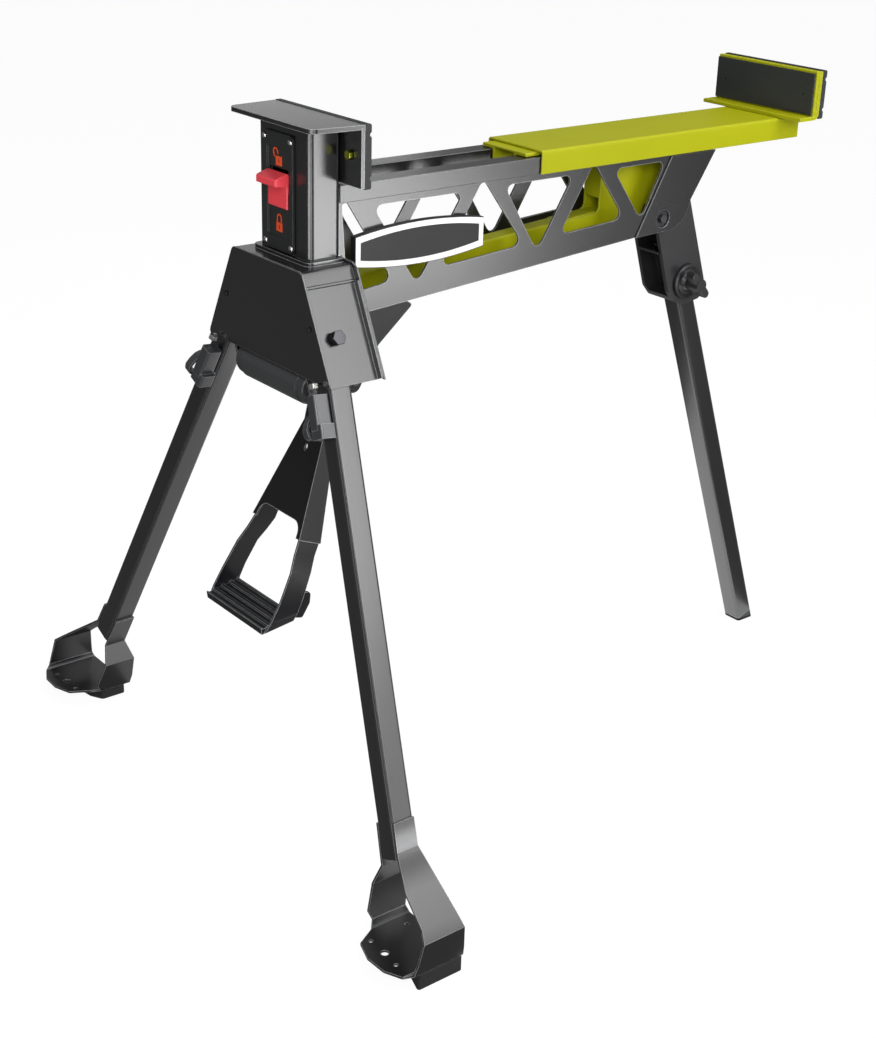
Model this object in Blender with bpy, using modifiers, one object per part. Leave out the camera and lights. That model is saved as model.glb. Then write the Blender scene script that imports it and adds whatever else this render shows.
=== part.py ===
import math

import bmesh
import bpy
from mathutils import Matrix, Vector

# A folding work stand with a sliding clamping jaw, closed by a foot pedal.
# +X runs along the beam from the fixed jaw to the sliding jaw, +Z is up.
# Lengths below are in millimetres and MM turns them into metres.
MM = 0.001

# Overall placing
column_front_x = -362.4
fit_gap = 0.3
running_gap = 0.5
round_steps = 24
small_round_steps = 12

# Beam: two pressed side plates with truss windows, and a rail along each
beam_plate_outer_y = 46.0
beam_plate_thick = 3.0
beam_rear_x = 652.0
beam_inner_front_x = -21.0
beam_inner_top_z = 684.0
beam_plate_top_z = 786.9
beam_bottom_front_z = 634.5
beam_bottom_slope = 0.0701
rail_top_z = 790.0
rail_bottom_z = 769.5
rail_outer_y = 48.5
rail_inner_y = 22.5
rail_thick = 2.2
rail_lip_bottom_z = 776.0
end_plate_thick = 2.4
badge_x0 = 64.3
badge_x1 = 253.5
badge_z0 = 692.0
badge_z1 = 734.0
badge_thick = 3.0
badge_arch = 5.5

# Head: pressed housing that carries the column and the front legs
splay = math.radians(25.5)
head_front_x = -25.0
head_plate_thick = 2.0
head_top_z = 705.0
head_bottom_z = 585.0
head_top_half = 72.0
head_panel_thick = 3.0
head_panel_inset = 2.0
head_flange = 8.0
head_lid_bottom_z = 689.0
head_corner = 9.0
collar_top_z = 709.5
collar_width = 6.5
rear_frame_thick = 2.5
rear_frame_gap = 0.8

# Column and fixed jaw
column_depth = 43.0
beam_front_x = column_depth + 2 * fit_gap
column_half = 51.0
column_wall = 3.0
column_corner = 7.0
column_bottom_z = 699.0
jaw_rise = 74.0
jaw_top_z = rail_top_z + jaw_rise
jaw_half = 89.0
jaw_plate_thick = 6.0
jaw_plate_front_x = -19.5
column_top_z = jaw_top_z - jaw_plate_thick - fit_gap
jaw_flange_x = column_depth + fit_gap
lid_rear_wall = 0.9
head_rear_x = column_depth + fit_gap + lid_rear_wall
beam_head_x = head_rear_x + fit_gap + rear_frame_thick + rear_frame_gap
jaw_flange_thick = 4.8
jaw_flange_bottom_z = rail_top_z + 3.5
pad_thick = 8.6
pad_bottom_z = rail_top_z + 2.0
pad_groove = 2.2
jaw_screw_y = 68.0
jaw_screw_z = (pad_bottom_z + jaw_top_z) / 2
screw_radius = 3.0
screw_head_radius = 6.0

# Lock switch on the column
plate_y0 = -23.0
plate_y1 = 37.0
plate_z0 = 711.0
plate_z1 = jaw_flange_bottom_z + 51.0
plate_thick = 3.2
plate_screw_inset = 7.0
recess_y0 = -15.5
recess_y1 = 28.5
recess_z0 = plate_z0 + 14.5
recess_z1 = plate_z1 - 16.5
recess_deep = 2.2
switch_axis_x = 7.0
switch_axis_z = 784.0
switch_half = 19.5
switch_mid_y = (recess_y0 + recess_y1) / 2
paddle_reach = 27.0

# Sliding jaw
moving_screw_z = 836.0
slide_front_x = 341.0
slide_rear_x = 808.0
slide_side_gap = 0.7
slide_wall = 2.6
slide_half = rail_outer_y + slide_side_gap + slide_wall
slide_top_z = rail_top_z + 8.5
slide_bottom_z = rail_bottom_z - fit_gap
slide_thick = 3.2
guide_front_x = 323.0
guide_rear_x = 640.0
guide_half = 41.0
guide_leg_half = 21.6
guide_leg_thick = 3.0
guide_leg_bottom_z = rail_top_z - 22.0
foot_flange_front_x = 766.0
moving_plate_x = 797.0
moving_plate_thick = 5.2
moving_flange_thick = 5.0
riser_front_x = 476.0
riser_rear_x = 604.0
riser_nose_x = 412.0
riser_grip = 21.0
riser_wall = 3.0

# Drive bar: a box tube that runs down the beam, parallel to the beam's lower edge
bar_corner = 3.0
bar_half = 12.0
bar_high = 33.0
bar_above = 35.5
bar_wall = 2.5
bar_front_x = 2.0
bar_rear_x = 630.0
bar_rise_room = 17.5

# Foot pedal and clutch
pedal_axis_x = 70.0
pedal_axis_z = 555.0
pedal_wall = 2.5
bearer_front_x = -17.5
bearer_top_z = 655.0
bearer_thick = 3.0
axle_radius = 5.0
tread_ribs = 4
spring_wire = 1.1
clutch_x = 12.0
clutch_thick = 4.0

# Front legs
tube_corner = 4.0
tube_inner_corner = 2.0
leg_bolt_hole = 5.6
leg_bolt_radius = 5.2
leg_bolt_head_radius = 9.0
leg_bolt_head_high = 6.0
leg_bolt_length = 39.0
leg_bolt_out = 21.8
leg_pivot_x = -1.0
leg_pivot_y = 87.0
leg_pivot_z = 626.0
leg_lean = math.radians(7.1)
tube_side = 30.0
tube_wall = 2.2
leg_tube_top = 12.0
leg_tube_end = 583.0
strap_thick = 3.0
strap_top = 540.0
foot_rear_x = -57.0
foot_inner_y = 322.0
foot_outer_y = 432.0
foot_base_z = 21.5
foot_wall_z = 61.0
lock_ahead = 22.0
lock_wide = 17.0
lock_top = 60.0
lock_saddle_top = 93.5
lock_bottom = 110.0
lock_proud = 5.5
lock_back = 2.2
catch_top = 79.0
catch_half = 5.0
knob_disc_radius = 24.5
knob_out_y = 54.0

# Rear leg
boss_radius = 13.0
boss_inner_y = 22.0
knob_stud_hole = 4.6
rear_pivot_x = 561.0
rear_pivot_z = 686.0
rear_rake = math.radians(19.8)
rear_bolt_radius = 3.2
rear_axis_x = 643.2
rear_axis_z = 585.0
rear_tube_up = 55.0
rear_sole_high = 10.0
bracket_half = 25.0
trough_half = 19.2

# Roller
roller_axle_radius = 4.0
roller_axle_half = 75.0
roller_x = -4.0
roller_z = 566.0
roller_radius = 22.0
roller_half = 71.0
roller_tread_half = 58.0
roller_end_radius = 20.2


def start():
    for obj in list(bpy.data.objects):
        bpy.data.objects.remove(obj, do_unlink=True)
    parts = bpy.data.collections.new("clamping_work_stand")
    cutters = bpy.data.collections.new("cutters")
    bpy.context.scene.collection.children.link(parts)
    bpy.context.scene.collection.children.link(cutters)
    cutters.hide_render = True
    return parts, cutters


PARTS, CUTTERS = start()


def material(name, colour, roughness, metallic):
    made = bpy.data.materials.new(name)
    made.use_nodes = True
    shader = made.node_tree.nodes["Principled BSDF"]
    shader.inputs["Base Color"].default_value = (*colour, 1.0)
    shader.inputs["Roughness"].default_value = roughness
    shader.inputs["Metallic"].default_value = metallic
    made.diffuse_color = (*colour, 1.0)
    return made


BLACK = material("black powder coat", (0.018, 0.019, 0.021), 0.42, 0.0)
GREEN = material("lime green powder coat", (0.43, 0.44, 0.02), 0.38, 0.0)
RUBBER = material("dark rubber", (0.022, 0.023, 0.026), 0.75, 0.0)
STEEL = material("zinc plated steel", (0.55, 0.55, 0.56), 0.3, 1.0)
RED = material("red plastic", (0.35, 0.012, 0.012), 0.4, 0.0)
PLASTIC = material("black moulded plastic", (0.025, 0.025, 0.027), 0.5, 0.0)
CASTING = material("dark grey casting", (0.08, 0.08, 0.085), 0.5, 0.3)


def at(x, y, z):
    """A place given from the column's front face, the middle plane and the ground."""
    return Vector(((x + column_front_x) * MM, y * MM, z * MM))


def keep(obj, colour):
    for old in list(obj.users_collection):
        old.objects.unlink(obj)
    PARTS.objects.link(obj)
    obj.data.materials.clear()
    obj.data.materials.append(colour)
    return obj


def hide(obj):
    for old in list(obj.users_collection):
        old.objects.unlink(obj)
    CUTTERS.objects.link(obj)
    obj.hide_render = True
    obj.display_type = "WIRE"
    return obj


def new_object(name, mesh, place, turn=None):
    obj = bpy.data.objects.new(name, mesh)
    PARTS.objects.link(obj)
    obj.location = place
    if turn is not None:
        obj.rotation_euler = turn.to_euler()
    return obj


def mesh_of(name, points, faces):
    mesh = bpy.data.meshes.new(name)
    mesh.from_pydata([tuple(p) for p in points], [], faces)
    work = bmesh.new()
    work.from_mesh(mesh)
    bmesh.ops.recalc_face_normals(work, faces=work.faces)
    work.to_mesh(mesh)
    work.free()
    return mesh


def rounded(points, radius, steps=4):
    """The outline with every corner rounded, or with one radius per corner."""
    count = len(points)
    radii = radius if isinstance(radius, (list, tuple)) else [radius] * count
    made = []
    for i, here in enumerate(points):
        here = Vector(here)
        before = Vector(points[i - 1]) - here
        after = Vector(points[(i + 1) % count]) - here
        r = radii[i]
        angle = before.angle(after)
        if r <= 0.0 or abs(math.pi - angle) < 0.02:
            made.append(tuple(here))
            continue
        reach = r / math.tan(angle / 2)
        reach = min(reach, before.length * 0.49, after.length * 0.49)
        r = reach * math.tan(angle / 2)
        middle = (before.normalized() + after.normalized()).normalized()
        centre = here + middle * (r / math.sin(angle / 2))
        first = here + before.normalized() * reach - centre
        last = here + after.normalized() * reach - centre
        sweep = first.angle_signed(last)
        for k in range(steps + 1):
            spin = Matrix.Rotation(-sweep * k / steps, 2)
            made.append(tuple(centre + spin @ first))
    return made


AXES = {
    "xz": Matrix(((1, 0, 0), (0, 0, -1), (0, 1, 0))),
    "yz": Matrix(((0, 0, 1), (1, 0, 0), (0, 1, 0))),
    "xy": Matrix(((1, 0, 0), (0, 1, 0), (0, 0, 1))),
}


def plate(name, outline, plane, low, high, colour, holes=(), pivot=None, turn=None):
    """A flat piece: the outline in one plane, from low to high along its normal."""
    curve = bpy.data.curves.new(name, "CURVE")
    curve.dimensions = "2D"
    curve.fill_mode = "BOTH"
    curve.extrude = abs(high - low) / 2 * MM
    for ring in [outline, *holes]:
        spline = curve.splines.new("POLY")
        spline.points.add(len(ring) - 1)
        for point, (u, v) in zip(spline.points, ring):
            point.co = (u * MM, v * MM, 0.0, 1.0)
        spline.use_cyclic_u = True
    flat = bpy.data.objects.new(name + "_flat", curve)
    PARTS.objects.link(flat)
    bpy.context.view_layer.update()
    graph = bpy.context.evaluated_depsgraph_get()
    mesh = bpy.data.meshes.new_from_object(flat.evaluated_get(graph))
    bpy.data.objects.remove(flat, do_unlink=True)
    middle = (low + high) / 2 * MM
    mesh.transform(AXES[plane].to_4x4() @ Matrix.Translation((0, 0, mid_sign(plane) * middle)))
    work = bmesh.new()
    work.from_mesh(mesh)
    bmesh.ops.remove_doubles(work, verts=work.verts, dist=1e-6)
    bmesh.ops.recalc_face_normals(work, faces=work.faces)
    work.to_mesh(mesh)
    work.free()
    centre = Vector((0, 0, 0)) if pivot is None else Vector(pivot) * MM
    mesh.transform(Matrix.Translation(-centre))
    place = centre + Vector((column_front_x * MM, 0, 0))
    if turn is not None:
        place = centre
    obj = new_object(name, mesh, place, turn)
    return keep(obj, colour)


def mid_sign(plane):
    return -1.0 if plane == "xz" else 1.0


def box_points(low, high):
    x0, y0, z0 = low
    x1, y1, z1 = high
    return [
        (x0, y0, z0), (x1, y0, z0), (x1, y1, z0), (x0, y1, z0),
        (x0, y0, z1), (x1, y0, z1), (x1, y1, z1), (x0, y1, z1),
    ]


BOX_FACES = [(0, 3, 2, 1), (4, 5, 6, 7), (0, 1, 5, 4), (1, 2, 6, 5), (2, 3, 7, 6), (3, 0, 4, 7)]


def box(name, low, high, colour, bevel=0.0, pivot=None):
    pivot = [(a + b) / 2 for a, b in zip(low, high)] if pivot is None else pivot
    points = [(Vector(p) - Vector(pivot)) * MM for p in box_points(low, high)]
    obj = new_object(name, mesh_of(name, points, BOX_FACES), at(*pivot))
    if bevel:
        add_bevel(obj, bevel)
    return keep(obj, colour)


def add_bevel(obj, width, segments=2, angle=40):
    mod = obj.modifiers.new("edge", "BEVEL")
    mod.width = width * MM
    mod.segments = segments
    mod.limit_method = "ANGLE"
    mod.angle_limit = math.radians(angle)
    mod.harden_normals = False
    return mod


def turned(name, profile, axis, place, colour, steps=round_steps, closed=True):
    """A round piece: (radius, height) pairs turned about an axis, capped by the ring itself."""
    points = []
    faces = []
    rows = len(profile)
    for k in range(steps):
        a = 2 * math.pi * k / steps
        for r, h in profile:
            points.append(Vector((r * math.cos(a), r * math.sin(a), h)) * MM)
    for k in range(steps):
        n = (k + 1) % steps
        for i in range(rows if closed else rows - 1):
            j = (i + 1) % rows
            faces.append((k * rows + i, n * rows + i, n * rows + j, k * rows + j))
    if not closed:
        faces.append([k * rows for k in range(steps)])
        faces.append([k * rows + rows - 1 for k in range(steps)])
    mesh = mesh_of(name, points, faces)
    turn = Vector((0, 0, 1)).rotation_difference(Vector(axis).normalized())
    mesh.transform(turn.to_matrix().to_4x4())
    obj = new_object(name, mesh, place)
    for face in mesh.polygons:
        face.use_smooth = len(face.vertices) == 4
    return keep(obj, colour)


def pin(name, steps_list, axis, place, colour, steps=round_steps):
    """A solid stepped pin: (radius, from, to) along the axis."""
    profile = []
    for radius, low, high in steps_list:
        profile += [(radius, low), (radius, high)]
    return turned(name, profile, axis, place, colour, steps, closed=False)


def bolt(name, axis, place, colour, head_radius, head_high, radius, length, nut_high=0.0):
    """A hexagon head at the place, its shank along the axis, with a hexagon nut at its end."""
    points = []
    faces = []
    rings = [(head_radius, -head_high, 6), (head_radius, 0.0, 6), (radius, 0.0, 12), (radius, length, 12)]
    if nut_high:
        rings += [(head_radius, length, 6), (head_radius, length + nut_high, 6)]
    order = 12
    start_of = []
    for r, h, sides in rings:
        start_of.append(len(points))
        for k in range(order):
            a = math.pi * 2 * k / order
            if sides == 6 and k % 2:
                size = r * math.cos(math.pi / 6)
            else:
                size = r
            points.append(Vector((size * math.cos(a), size * math.sin(a), h)) * MM)
    for row in range(len(rings) - 1):
        a = start_of[row]
        b = start_of[row + 1]
        for k in range(order):
            n = (k + 1) % order
            faces.append((a + k, a + n, b + n, b + k))
    faces.append([start_of[0] + k for k in range(order)])
    faces.append([start_of[-1] + k for k in range(order)])
    mesh = mesh_of(name, points, faces)
    turn = Vector((0, 0, 1)).rotation_difference(Vector(axis).normalized())
    mesh.transform(turn.to_matrix().to_4x4())
    return keep(new_object(name, mesh, place), colour)


def tool_box(low, high, turn=None):
    middle = [(a + b) / 2 for a, b in zip(low, high)]
    points = [(Vector(p) - Vector(middle)) * MM for p in box_points(low, high)]
    obj = new_object("cut_box", mesh_of("cut_box", points, BOX_FACES), at(*middle), turn)
    return hide(obj)


def tool_round(radius, half_long, axis, place, steps=round_steps):
    obj = pin("cut_round", [(radius, -half_long, half_long)], axis, place, BLACK, steps=steps)
    return hide(obj)


def tool_plate(outline, plane, low, high):
    return hide(plate("cut_plate", outline, plane, low, high, BLACK))


def combine(obj, other, operation):
    mod = obj.modifiers.new(operation.lower(), "BOOLEAN")
    mod.operation = operation
    mod.solver = "EXACT"
    mod.object = other
    return obj


def cut(obj, *tools):
    for tool in tools:
        combine(obj, tool, "DIFFERENCE")
    return obj


def join(obj, *others):
    for other in others:
        hide(other)
        combine(obj, other, "UNION")
    return obj


def bottom_z(x):
    return beam_bottom_front_z + beam_bottom_slope * (x - 60.0)


def splay_y(z, out=0.0):
    """How far out the slanted side panel's outer face is at a height, plus a step outward."""
    return head_top_half + (head_top_z - z) * math.tan(splay) + out / math.cos(splay)


def circle(cx, cz, r, steps=small_round_steps):
    return [
        (cx + r * math.cos(2 * math.pi * k / steps), cz + r * math.sin(2 * math.pi * k / steps))
        for k in range(steps)
    ]


# Beam
# Each window leans with the ties of the truss; its corners are rounded.
windows = [
    [(47.6, 768.3), (55.8, 768.3), (121.5, 668.5), (56.0, 661.0)],
    [(91.0, 761.0), (156.5, 658.0), (225.0, 761.0)],
    [(254.0, 774.0), (322.0, 683.5), (190.5, 674.5)],
    [(287.0, 761.5), (345.0, 671.0), (400.0, 761.5)],
    [(433.5, 774.0), (492.0, 695.0), (381.0, 688.0)],
    [(468.0, 761.5), (523.0, 687.5), (560.0, 761.5)],
]
window_radii = {3: [7.0, 9.0, 7.0], 4: [3.0, 6.0, 9.0, 7.0]}
window_rings = [rounded(w, window_radii[len(w)], 4) for w in windows]
beam_outline = [
    (beam_front_x, beam_plate_top_z),
    (beam_front_x, collar_top_z + fit_gap),
    (beam_head_x, collar_top_z + fit_gap),
    (beam_head_x, beam_inner_top_z),
    (beam_inner_front_x, beam_inner_top_z),
    (beam_inner_front_x, bottom_z(beam_inner_front_x)),
    (514.0, bottom_z(514.0)),
    (576.0, bottom_z(514.0) + 2.0),
    (594.0, 678.0),
    (606.0, 697.0),
    (608.0, 706.0),
    (648.0, 766.0),
    (beam_rear_x, beam_plate_top_z),
]
rear_bolt_hole = circle(rear_pivot_x, rear_pivot_z, rear_bolt_radius + fit_gap)
rear_bolt_recess = circle(rear_pivot_x, rear_pivot_z, 12.0)
end_outline = rounded(
    [
        (569.5, rail_bottom_z - 1.7),
        (513.5, bottom_z(514.0)),
        (556.0, 668.0),
        (580.0, 668.5),
        (597.0, 677.5),
        (608.5, 697.0),
        (611.0, 706.0),
        (651.0, rail_bottom_z - 1.7),
    ],
    [0, 0, 0, 6.0, 6.0, 6.0, 3.0, 0],
)
badge_long = badge_x1 - badge_x0


def badge_outline(inset):
    low = []
    high = []
    for k in range(9):
        t = k / 8
        x = badge_x0 + inset + (badge_long - 2 * inset) * t
        rise = badge_arch * (1 - (2 * t - 1) ** 2)
        low.append((x, badge_z0 + inset))
        high.append((x, badge_z1 - inset - badge_arch + rise))
    return [low[0], low[-1]] + high[::-1]


for word, side in (("near", -1.0), ("far", 1.0)):
    outer = side * beam_plate_outer_y
    inner = side * (beam_plate_outer_y - beam_plate_thick)
    low, high = min(outer, inner), max(outer, inner)
    plate(
        "beam_side_" + word,
        beam_outline,
        "xz",
        low,
        high,
        BLACK,
        holes=[*window_rings, rear_bolt_hole],
    )
    edge = side * (beam_plate_outer_y + fit_gap)
    face = side * (beam_plate_outer_y + fit_gap + end_plate_thick)
    plate(
        "beam_end_plate_" + word,
        end_outline,
        "xz",
        min(edge, face),
        max(edge, face),
        BLACK,
        holes=[rear_bolt_recess],
    )
    if word == "near":
        face = side * (beam_plate_outer_y + fit_gap + badge_thick)
        plate("badge_plate", badge_outline(0.0), "xz", face, edge, PLASTIC)
    # Rail: outer skirt, top and inner lip in one bent section
    section = [
        (side * rail_outer_y, rail_bottom_z),
        (side * rail_outer_y, rail_top_z),
        (side * rail_inner_y, rail_top_z),
        (side * rail_inner_y, rail_lip_bottom_z),
        (side * (rail_inner_y + rail_thick), rail_lip_bottom_z),
        (side * (rail_inner_y + rail_thick), rail_top_z - rail_thick),
        (side * (rail_outer_y - rail_thick), rail_top_z - rail_thick),
        (side * (rail_outer_y - rail_thick), rail_bottom_z),
    ]
    plate("beam_rail_" + word, section, "yz", beam_front_x, beam_rear_x, BLACK)
    shank = beam_plate_outer_y + fit_gap
    bolt(
        "rear_pivot_bolt_" + word,
        (0, -side, 0),
        at(rear_pivot_x, side * shank, rear_pivot_z),
        STEEL,
        5.8,
        4.2,
        rear_bolt_radius,
        shank - 19.0,
    )

# Head
front_outline = rounded(
    [
        (-splay_y(head_bottom_z), head_bottom_z),
        (splay_y(head_bottom_z), head_bottom_z),
        (splay_y(head_top_z), head_top_z),
        (-splay_y(head_top_z), head_top_z),
    ],
    [4.0, 4.0, head_corner, head_corner],
    5,
)
plate(
    "head_front_plate",
    front_outline,
    "yz",
    head_front_x,
    head_front_x + head_plate_thick,
    BLACK,
    holes=[circle(-87.0, 644.0, 1.9), circle(87.0, 644.0, 1.9)],
)
panel_front_x = head_front_x + head_plate_thick + fit_gap
panel_top_z = head_lid_bottom_z - 1.5
panel_bottom_z = head_bottom_z + 1.0
panel_long = (panel_top_z - panel_bottom_z) / math.cos(splay)
for word, side in (("near", -1.0), ("far", 1.0)):
    # The panel's section lies across the slant and is drawn out down the slant.
    section = [
        (panel_front_x, -head_panel_inset),
        (head_rear_x - 2.5, -head_panel_inset),
        (head_rear_x - 2.5, head_flange - head_panel_inset),
        (head_rear_x, head_flange - head_panel_inset),
        (head_rear_x, -head_panel_inset - head_panel_thick),
        (panel_front_x, -head_panel_inset - head_panel_thick),
    ]
    down = Vector((0, side * math.sin(splay), -math.cos(splay)))
    out = Vector((0, side * math.cos(splay), math.sin(splay)))
    corner = Vector((0, side * splay_y(panel_top_z), panel_top_z))
    points = []
    for step in (0.0, panel_long):
        for x, n in section:
            points.append((Vector((x, 0, 0)) + corner + out * n + down * step) * MM)
    count = len(section)
    faces = [list(range(count)), list(range(count, 2 * count))]
    for i in range(count):
        j = (i + 1) % count
        faces.append((i, j, count + j, count + i))
    panel = new_object(
        "head_side_panel_" + word,
        mesh_of("panel", points, faces),
        Vector((column_front_x * MM, 0, 0)),
    )
    keep(panel, BLACK)
    pivot = Vector((leg_pivot_x, side * leg_pivot_y, leg_pivot_z))
    hole = tool_round(5.6, 40.0, out, at(*pivot), small_round_steps)
    cut(panel, hole)

frame_outer = [
    (splay_y(panel_bottom_z, head_flange - head_panel_inset), panel_bottom_z),
    (splay_y(head_top_z - 3, head_flange - head_panel_inset), head_top_z - 3),
    (splay_y(head_top_z, 0) - 2.0, head_top_z + 3.0),
]
frame_inner = [
    (splay_y(head_top_z - 6) - 4.0, head_top_z - 6.0),
    (splay_y(head_top_z - 20, -head_panel_inset), head_top_z - 20.0),
    (splay_y(panel_bottom_z, -head_panel_inset), panel_bottom_z),
]
frame_ring = (
    [(y, z) for y, z in frame_outer]
    + [(-y, z) for y, z in reversed(frame_outer)]
    + [(-y, z) for y, z in reversed(frame_inner)]
    + [(y, z) for y, z in frame_inner]
)
plate(
    "head_rear_frame",
    frame_ring,
    "yz",
    head_rear_x + fit_gap,
    head_rear_x + fit_gap + rear_frame_thick,
    BLACK,
)

# Lid with the raised collar round the foot of the column
lid_outline = rounded(
    [
        (-splay_y(head_lid_bottom_z, -head_panel_inset + 0.4), head_lid_bottom_z),
        (splay_y(head_lid_bottom_z, -head_panel_inset + 0.4), head_lid_bottom_z),
        (splay_y(head_top_z, -head_panel_inset), head_top_z),
        (-splay_y(head_top_z, -head_panel_inset), head_top_z),
    ],
    [0.0, 0.0, 8.0, 8.0],
    4,
)
lid = plate("head_lid", lid_outline, "yz", panel_front_x, head_rear_x, BLACK)
hollow = tool_box(
    (panel_front_x + 3.0, -splay_y(head_top_z) + 8.0, head_lid_bottom_z - 5.0),
    (head_rear_x - 2.5, splay_y(head_top_z) - 8.0, head_top_z - 4.0),
)
collar_ring = rounded(
    [
        (-collar_width, -column_half - collar_width),
        (head_rear_x - fit_gap, -column_half - collar_width),
        (head_rear_x - fit_gap, column_half + collar_width),
        (-collar_width, column_half + collar_width),
    ],
    [9.0, 4.0, 4.0, 9.0],
)
collar = plate("collar", collar_ring, "xy", head_top_z - 2.0, collar_top_z, BLACK)
add_bevel(collar, 3.0, 2, 50)
join(lid, collar)
column_hole_ring = rounded(
    [
        (-fit_gap, -column_half - fit_gap),
        (column_depth + fit_gap, -column_half - fit_gap),
        (column_depth + fit_gap, column_half + fit_gap),
        (-fit_gap, column_half + fit_gap),
    ],
    column_corner,
)
column_hole = tool_plate(column_hole_ring, "xy", head_lid_bottom_z - 8.0, collar_top_z + 8.0)
cut(lid, hollow, column_hole)

for word, side in (("near", -1.0), ("far", 1.0)):
    bolt(
        "front_plate_screw_" + word,
        (1, 0, 0),
        at(head_front_x - fit_gap, side * 87.0, 644.0),
        STEEL,
        3.4,
        2.0,
        1.6,
        1.0,
    )

# Column
column_outer = rounded(
    [(0, -column_half), (column_depth, -column_half), (column_depth, column_half), (0, column_half)],
    column_corner,
    5,
)
column_inner = rounded(
    [
        (column_wall, -column_half + column_wall),
        (column_depth - column_wall, -column_half + column_wall),
        (column_depth - column_wall, column_half - column_wall),
        (column_wall, column_half - column_wall),
    ],
    column_corner - column_wall,
    3,
)
column = plate(
    "jaw_column", column_outer, "xy", column_bottom_z, column_top_z, BLACK, holes=[column_inner]
)
slot = tool_box(
    (-10.0, switch_mid_y - switch_half - 1.5, switch_axis_z - 14.0),
    (10.0, switch_mid_y + switch_half + 1.5, switch_axis_z + 23.0),
)
cut(column, slot)

# Fixed jaw: top plate bent down at its rear
top_ring = rounded(
    [
        (jaw_plate_front_x, -jaw_half + 6.0),
        (jaw_flange_x + jaw_flange_thick, -jaw_half),
        (jaw_flange_x + jaw_flange_thick, jaw_half),
        (jaw_plate_front_x, jaw_half - 6.0),
    ],
    [10.0, 0.0, 0.0, 10.0],
    4,
)
top = plate(
    "fixed_jaw_plate", top_ring, "xy", jaw_top_z - jaw_plate_thick, jaw_top_z - 0.6, BLACK
)
flange = box(
    "fixed_jaw_flange",
    (jaw_flange_x, -jaw_half + 0.2, jaw_flange_bottom_z),
    (jaw_flange_x + jaw_flange_thick - 0.1, jaw_half - 0.2, jaw_top_z - jaw_plate_thick + 2.0),
    BLACK,
)
join(top, flange)
pad_x = jaw_flange_x + jaw_flange_thick + fit_gap


def jaw_pad(name, x0, face, bottom, top_z):
    """A rubber pad: x0 is its back, face the sign of the way it faces."""
    t = pad_thick
    g = pad_groove
    section = []
    for z, d in (
        (bottom, 0.0), (bottom, t - 1.5), (bottom + 1.5, t), (bottom + 9.0, t), (bottom + 11.0, t - g),
        (bottom + 13.0, t - g), (bottom + 15.0, t), (top_z - 15.0, t), (top_z - 13.0, t - g),
        (top_z - 11.0, t - g), (top_z - 9.0, t), (top_z - 1.5, t), (top_z, t - 1.5), (top_z, 0.0),
    ):
        section.append((x0 + face * d, z))
    pad = plate(name, section, "xz", -jaw_half, jaw_half, RUBBER)
    return pad


fixed_pad = jaw_pad("fixed_jaw_pad", pad_x, 1.0, pad_bottom_z, jaw_top_z)
for side in (-1.0, 1.0):
    place = at(pad_x, side * jaw_screw_y, jaw_screw_z)
    cut(top, tool_round(screw_radius + fit_gap, 20.0, (1, 0, 0), place, small_round_steps))
    cut(fixed_pad, tool_round(screw_radius + fit_gap, 20.0, (1, 0, 0), place, small_round_steps))
    sink = at(pad_x + pad_thick, side * jaw_screw_y, jaw_screw_z)
    cut(fixed_pad, tool_round(screw_head_radius + 1.2, 5.2, (1, 0, 0), sink, small_round_steps))
for word, side in (("near", -1.0), ("far", 1.0)):
    bolt(
        "fixed_jaw_screw_" + word,
        (-1, 0, 0),
        at(pad_x + pad_thick - 4.9, side * jaw_screw_y, jaw_screw_z),
        STEEL,
        screw_head_radius,
        3.2,
        screw_radius,
        pad_thick - 4.9 + fit_gap + jaw_flange_thick + fit_gap,
        nut_high=4.4,
    )

# Switch plate
plate_ring = rounded(
    [(plate_y0, plate_z0), (plate_y1, plate_z0), (plate_y1, plate_z1), (plate_y0, plate_z1)], 6.0
)
escutcheon = plate(
    "switch_plate", plate_ring, "yz", -plate_thick - fit_gap, -fit_gap, PLASTIC
)
recess = tool_box(
    (-plate_thick - 6.0, recess_y0, recess_z0), (-plate_thick - fit_gap + recess_deep, recess_y1, recess_z1)
)
opening = tool_box(
    (-10.0, switch_mid_y - switch_half - fit_gap, switch_axis_z - 8.0),
    (10.0, switch_mid_y + switch_half + fit_gap, switch_axis_z + 20.5),
)
cut(escutcheon, recess, opening)
screw_far_y = (plate_y1 + recess_y1) / 2
screw_near_y = (plate_y0 + recess_y0) / 2
for name, y, z in (
    ("plate_screw_1", screw_far_y, plate_z1 - plate_screw_inset),
    ("plate_screw_2", screw_near_y, plate_z1 - plate_screw_inset),
    ("plate_screw_3", screw_far_y, plate_z0 + plate_screw_inset),
    ("plate_screw_4", screw_near_y, plate_z0 + plate_screw_inset),
):
    turned(
        name,
        [(2.2, 0.0), (3.0, 0.6), (3.4, 1.4), (3.4, 1.7)],
        (1, 0, 0),
        at(-plate_thick - fit_gap - 2.0, y, z),
        STEEL,
        small_round_steps,
        closed=False,
    )

# Lock switch: a paddle above and a flat lever below, turning about Y
switch_section = [
    (-paddle_reach, 4.0),
    (-paddle_reach, 11.5),
    (-paddle_reach + 1.5, 13.0),
    (-11.0, 17.5),
    (4.0, 10.0),
    (8.0, 0.0),
    (4.0, -6.0),
    (-8.9, -6.0),
    (-8.9, -22.5),
    (-10.0, -24.0),
    (-11.2, -22.5),
    (-11.2, 2.0),
]
switch_section = [(x + switch_axis_x, z + switch_axis_z) for x, z in switch_section]
plate(
    "lock_switch",
    switch_section,
    "xz",
    switch_mid_y - switch_half,
    switch_mid_y + switch_half,
    RED,
    pivot=(switch_axis_x, switch_mid_y, switch_axis_z),
)

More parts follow.
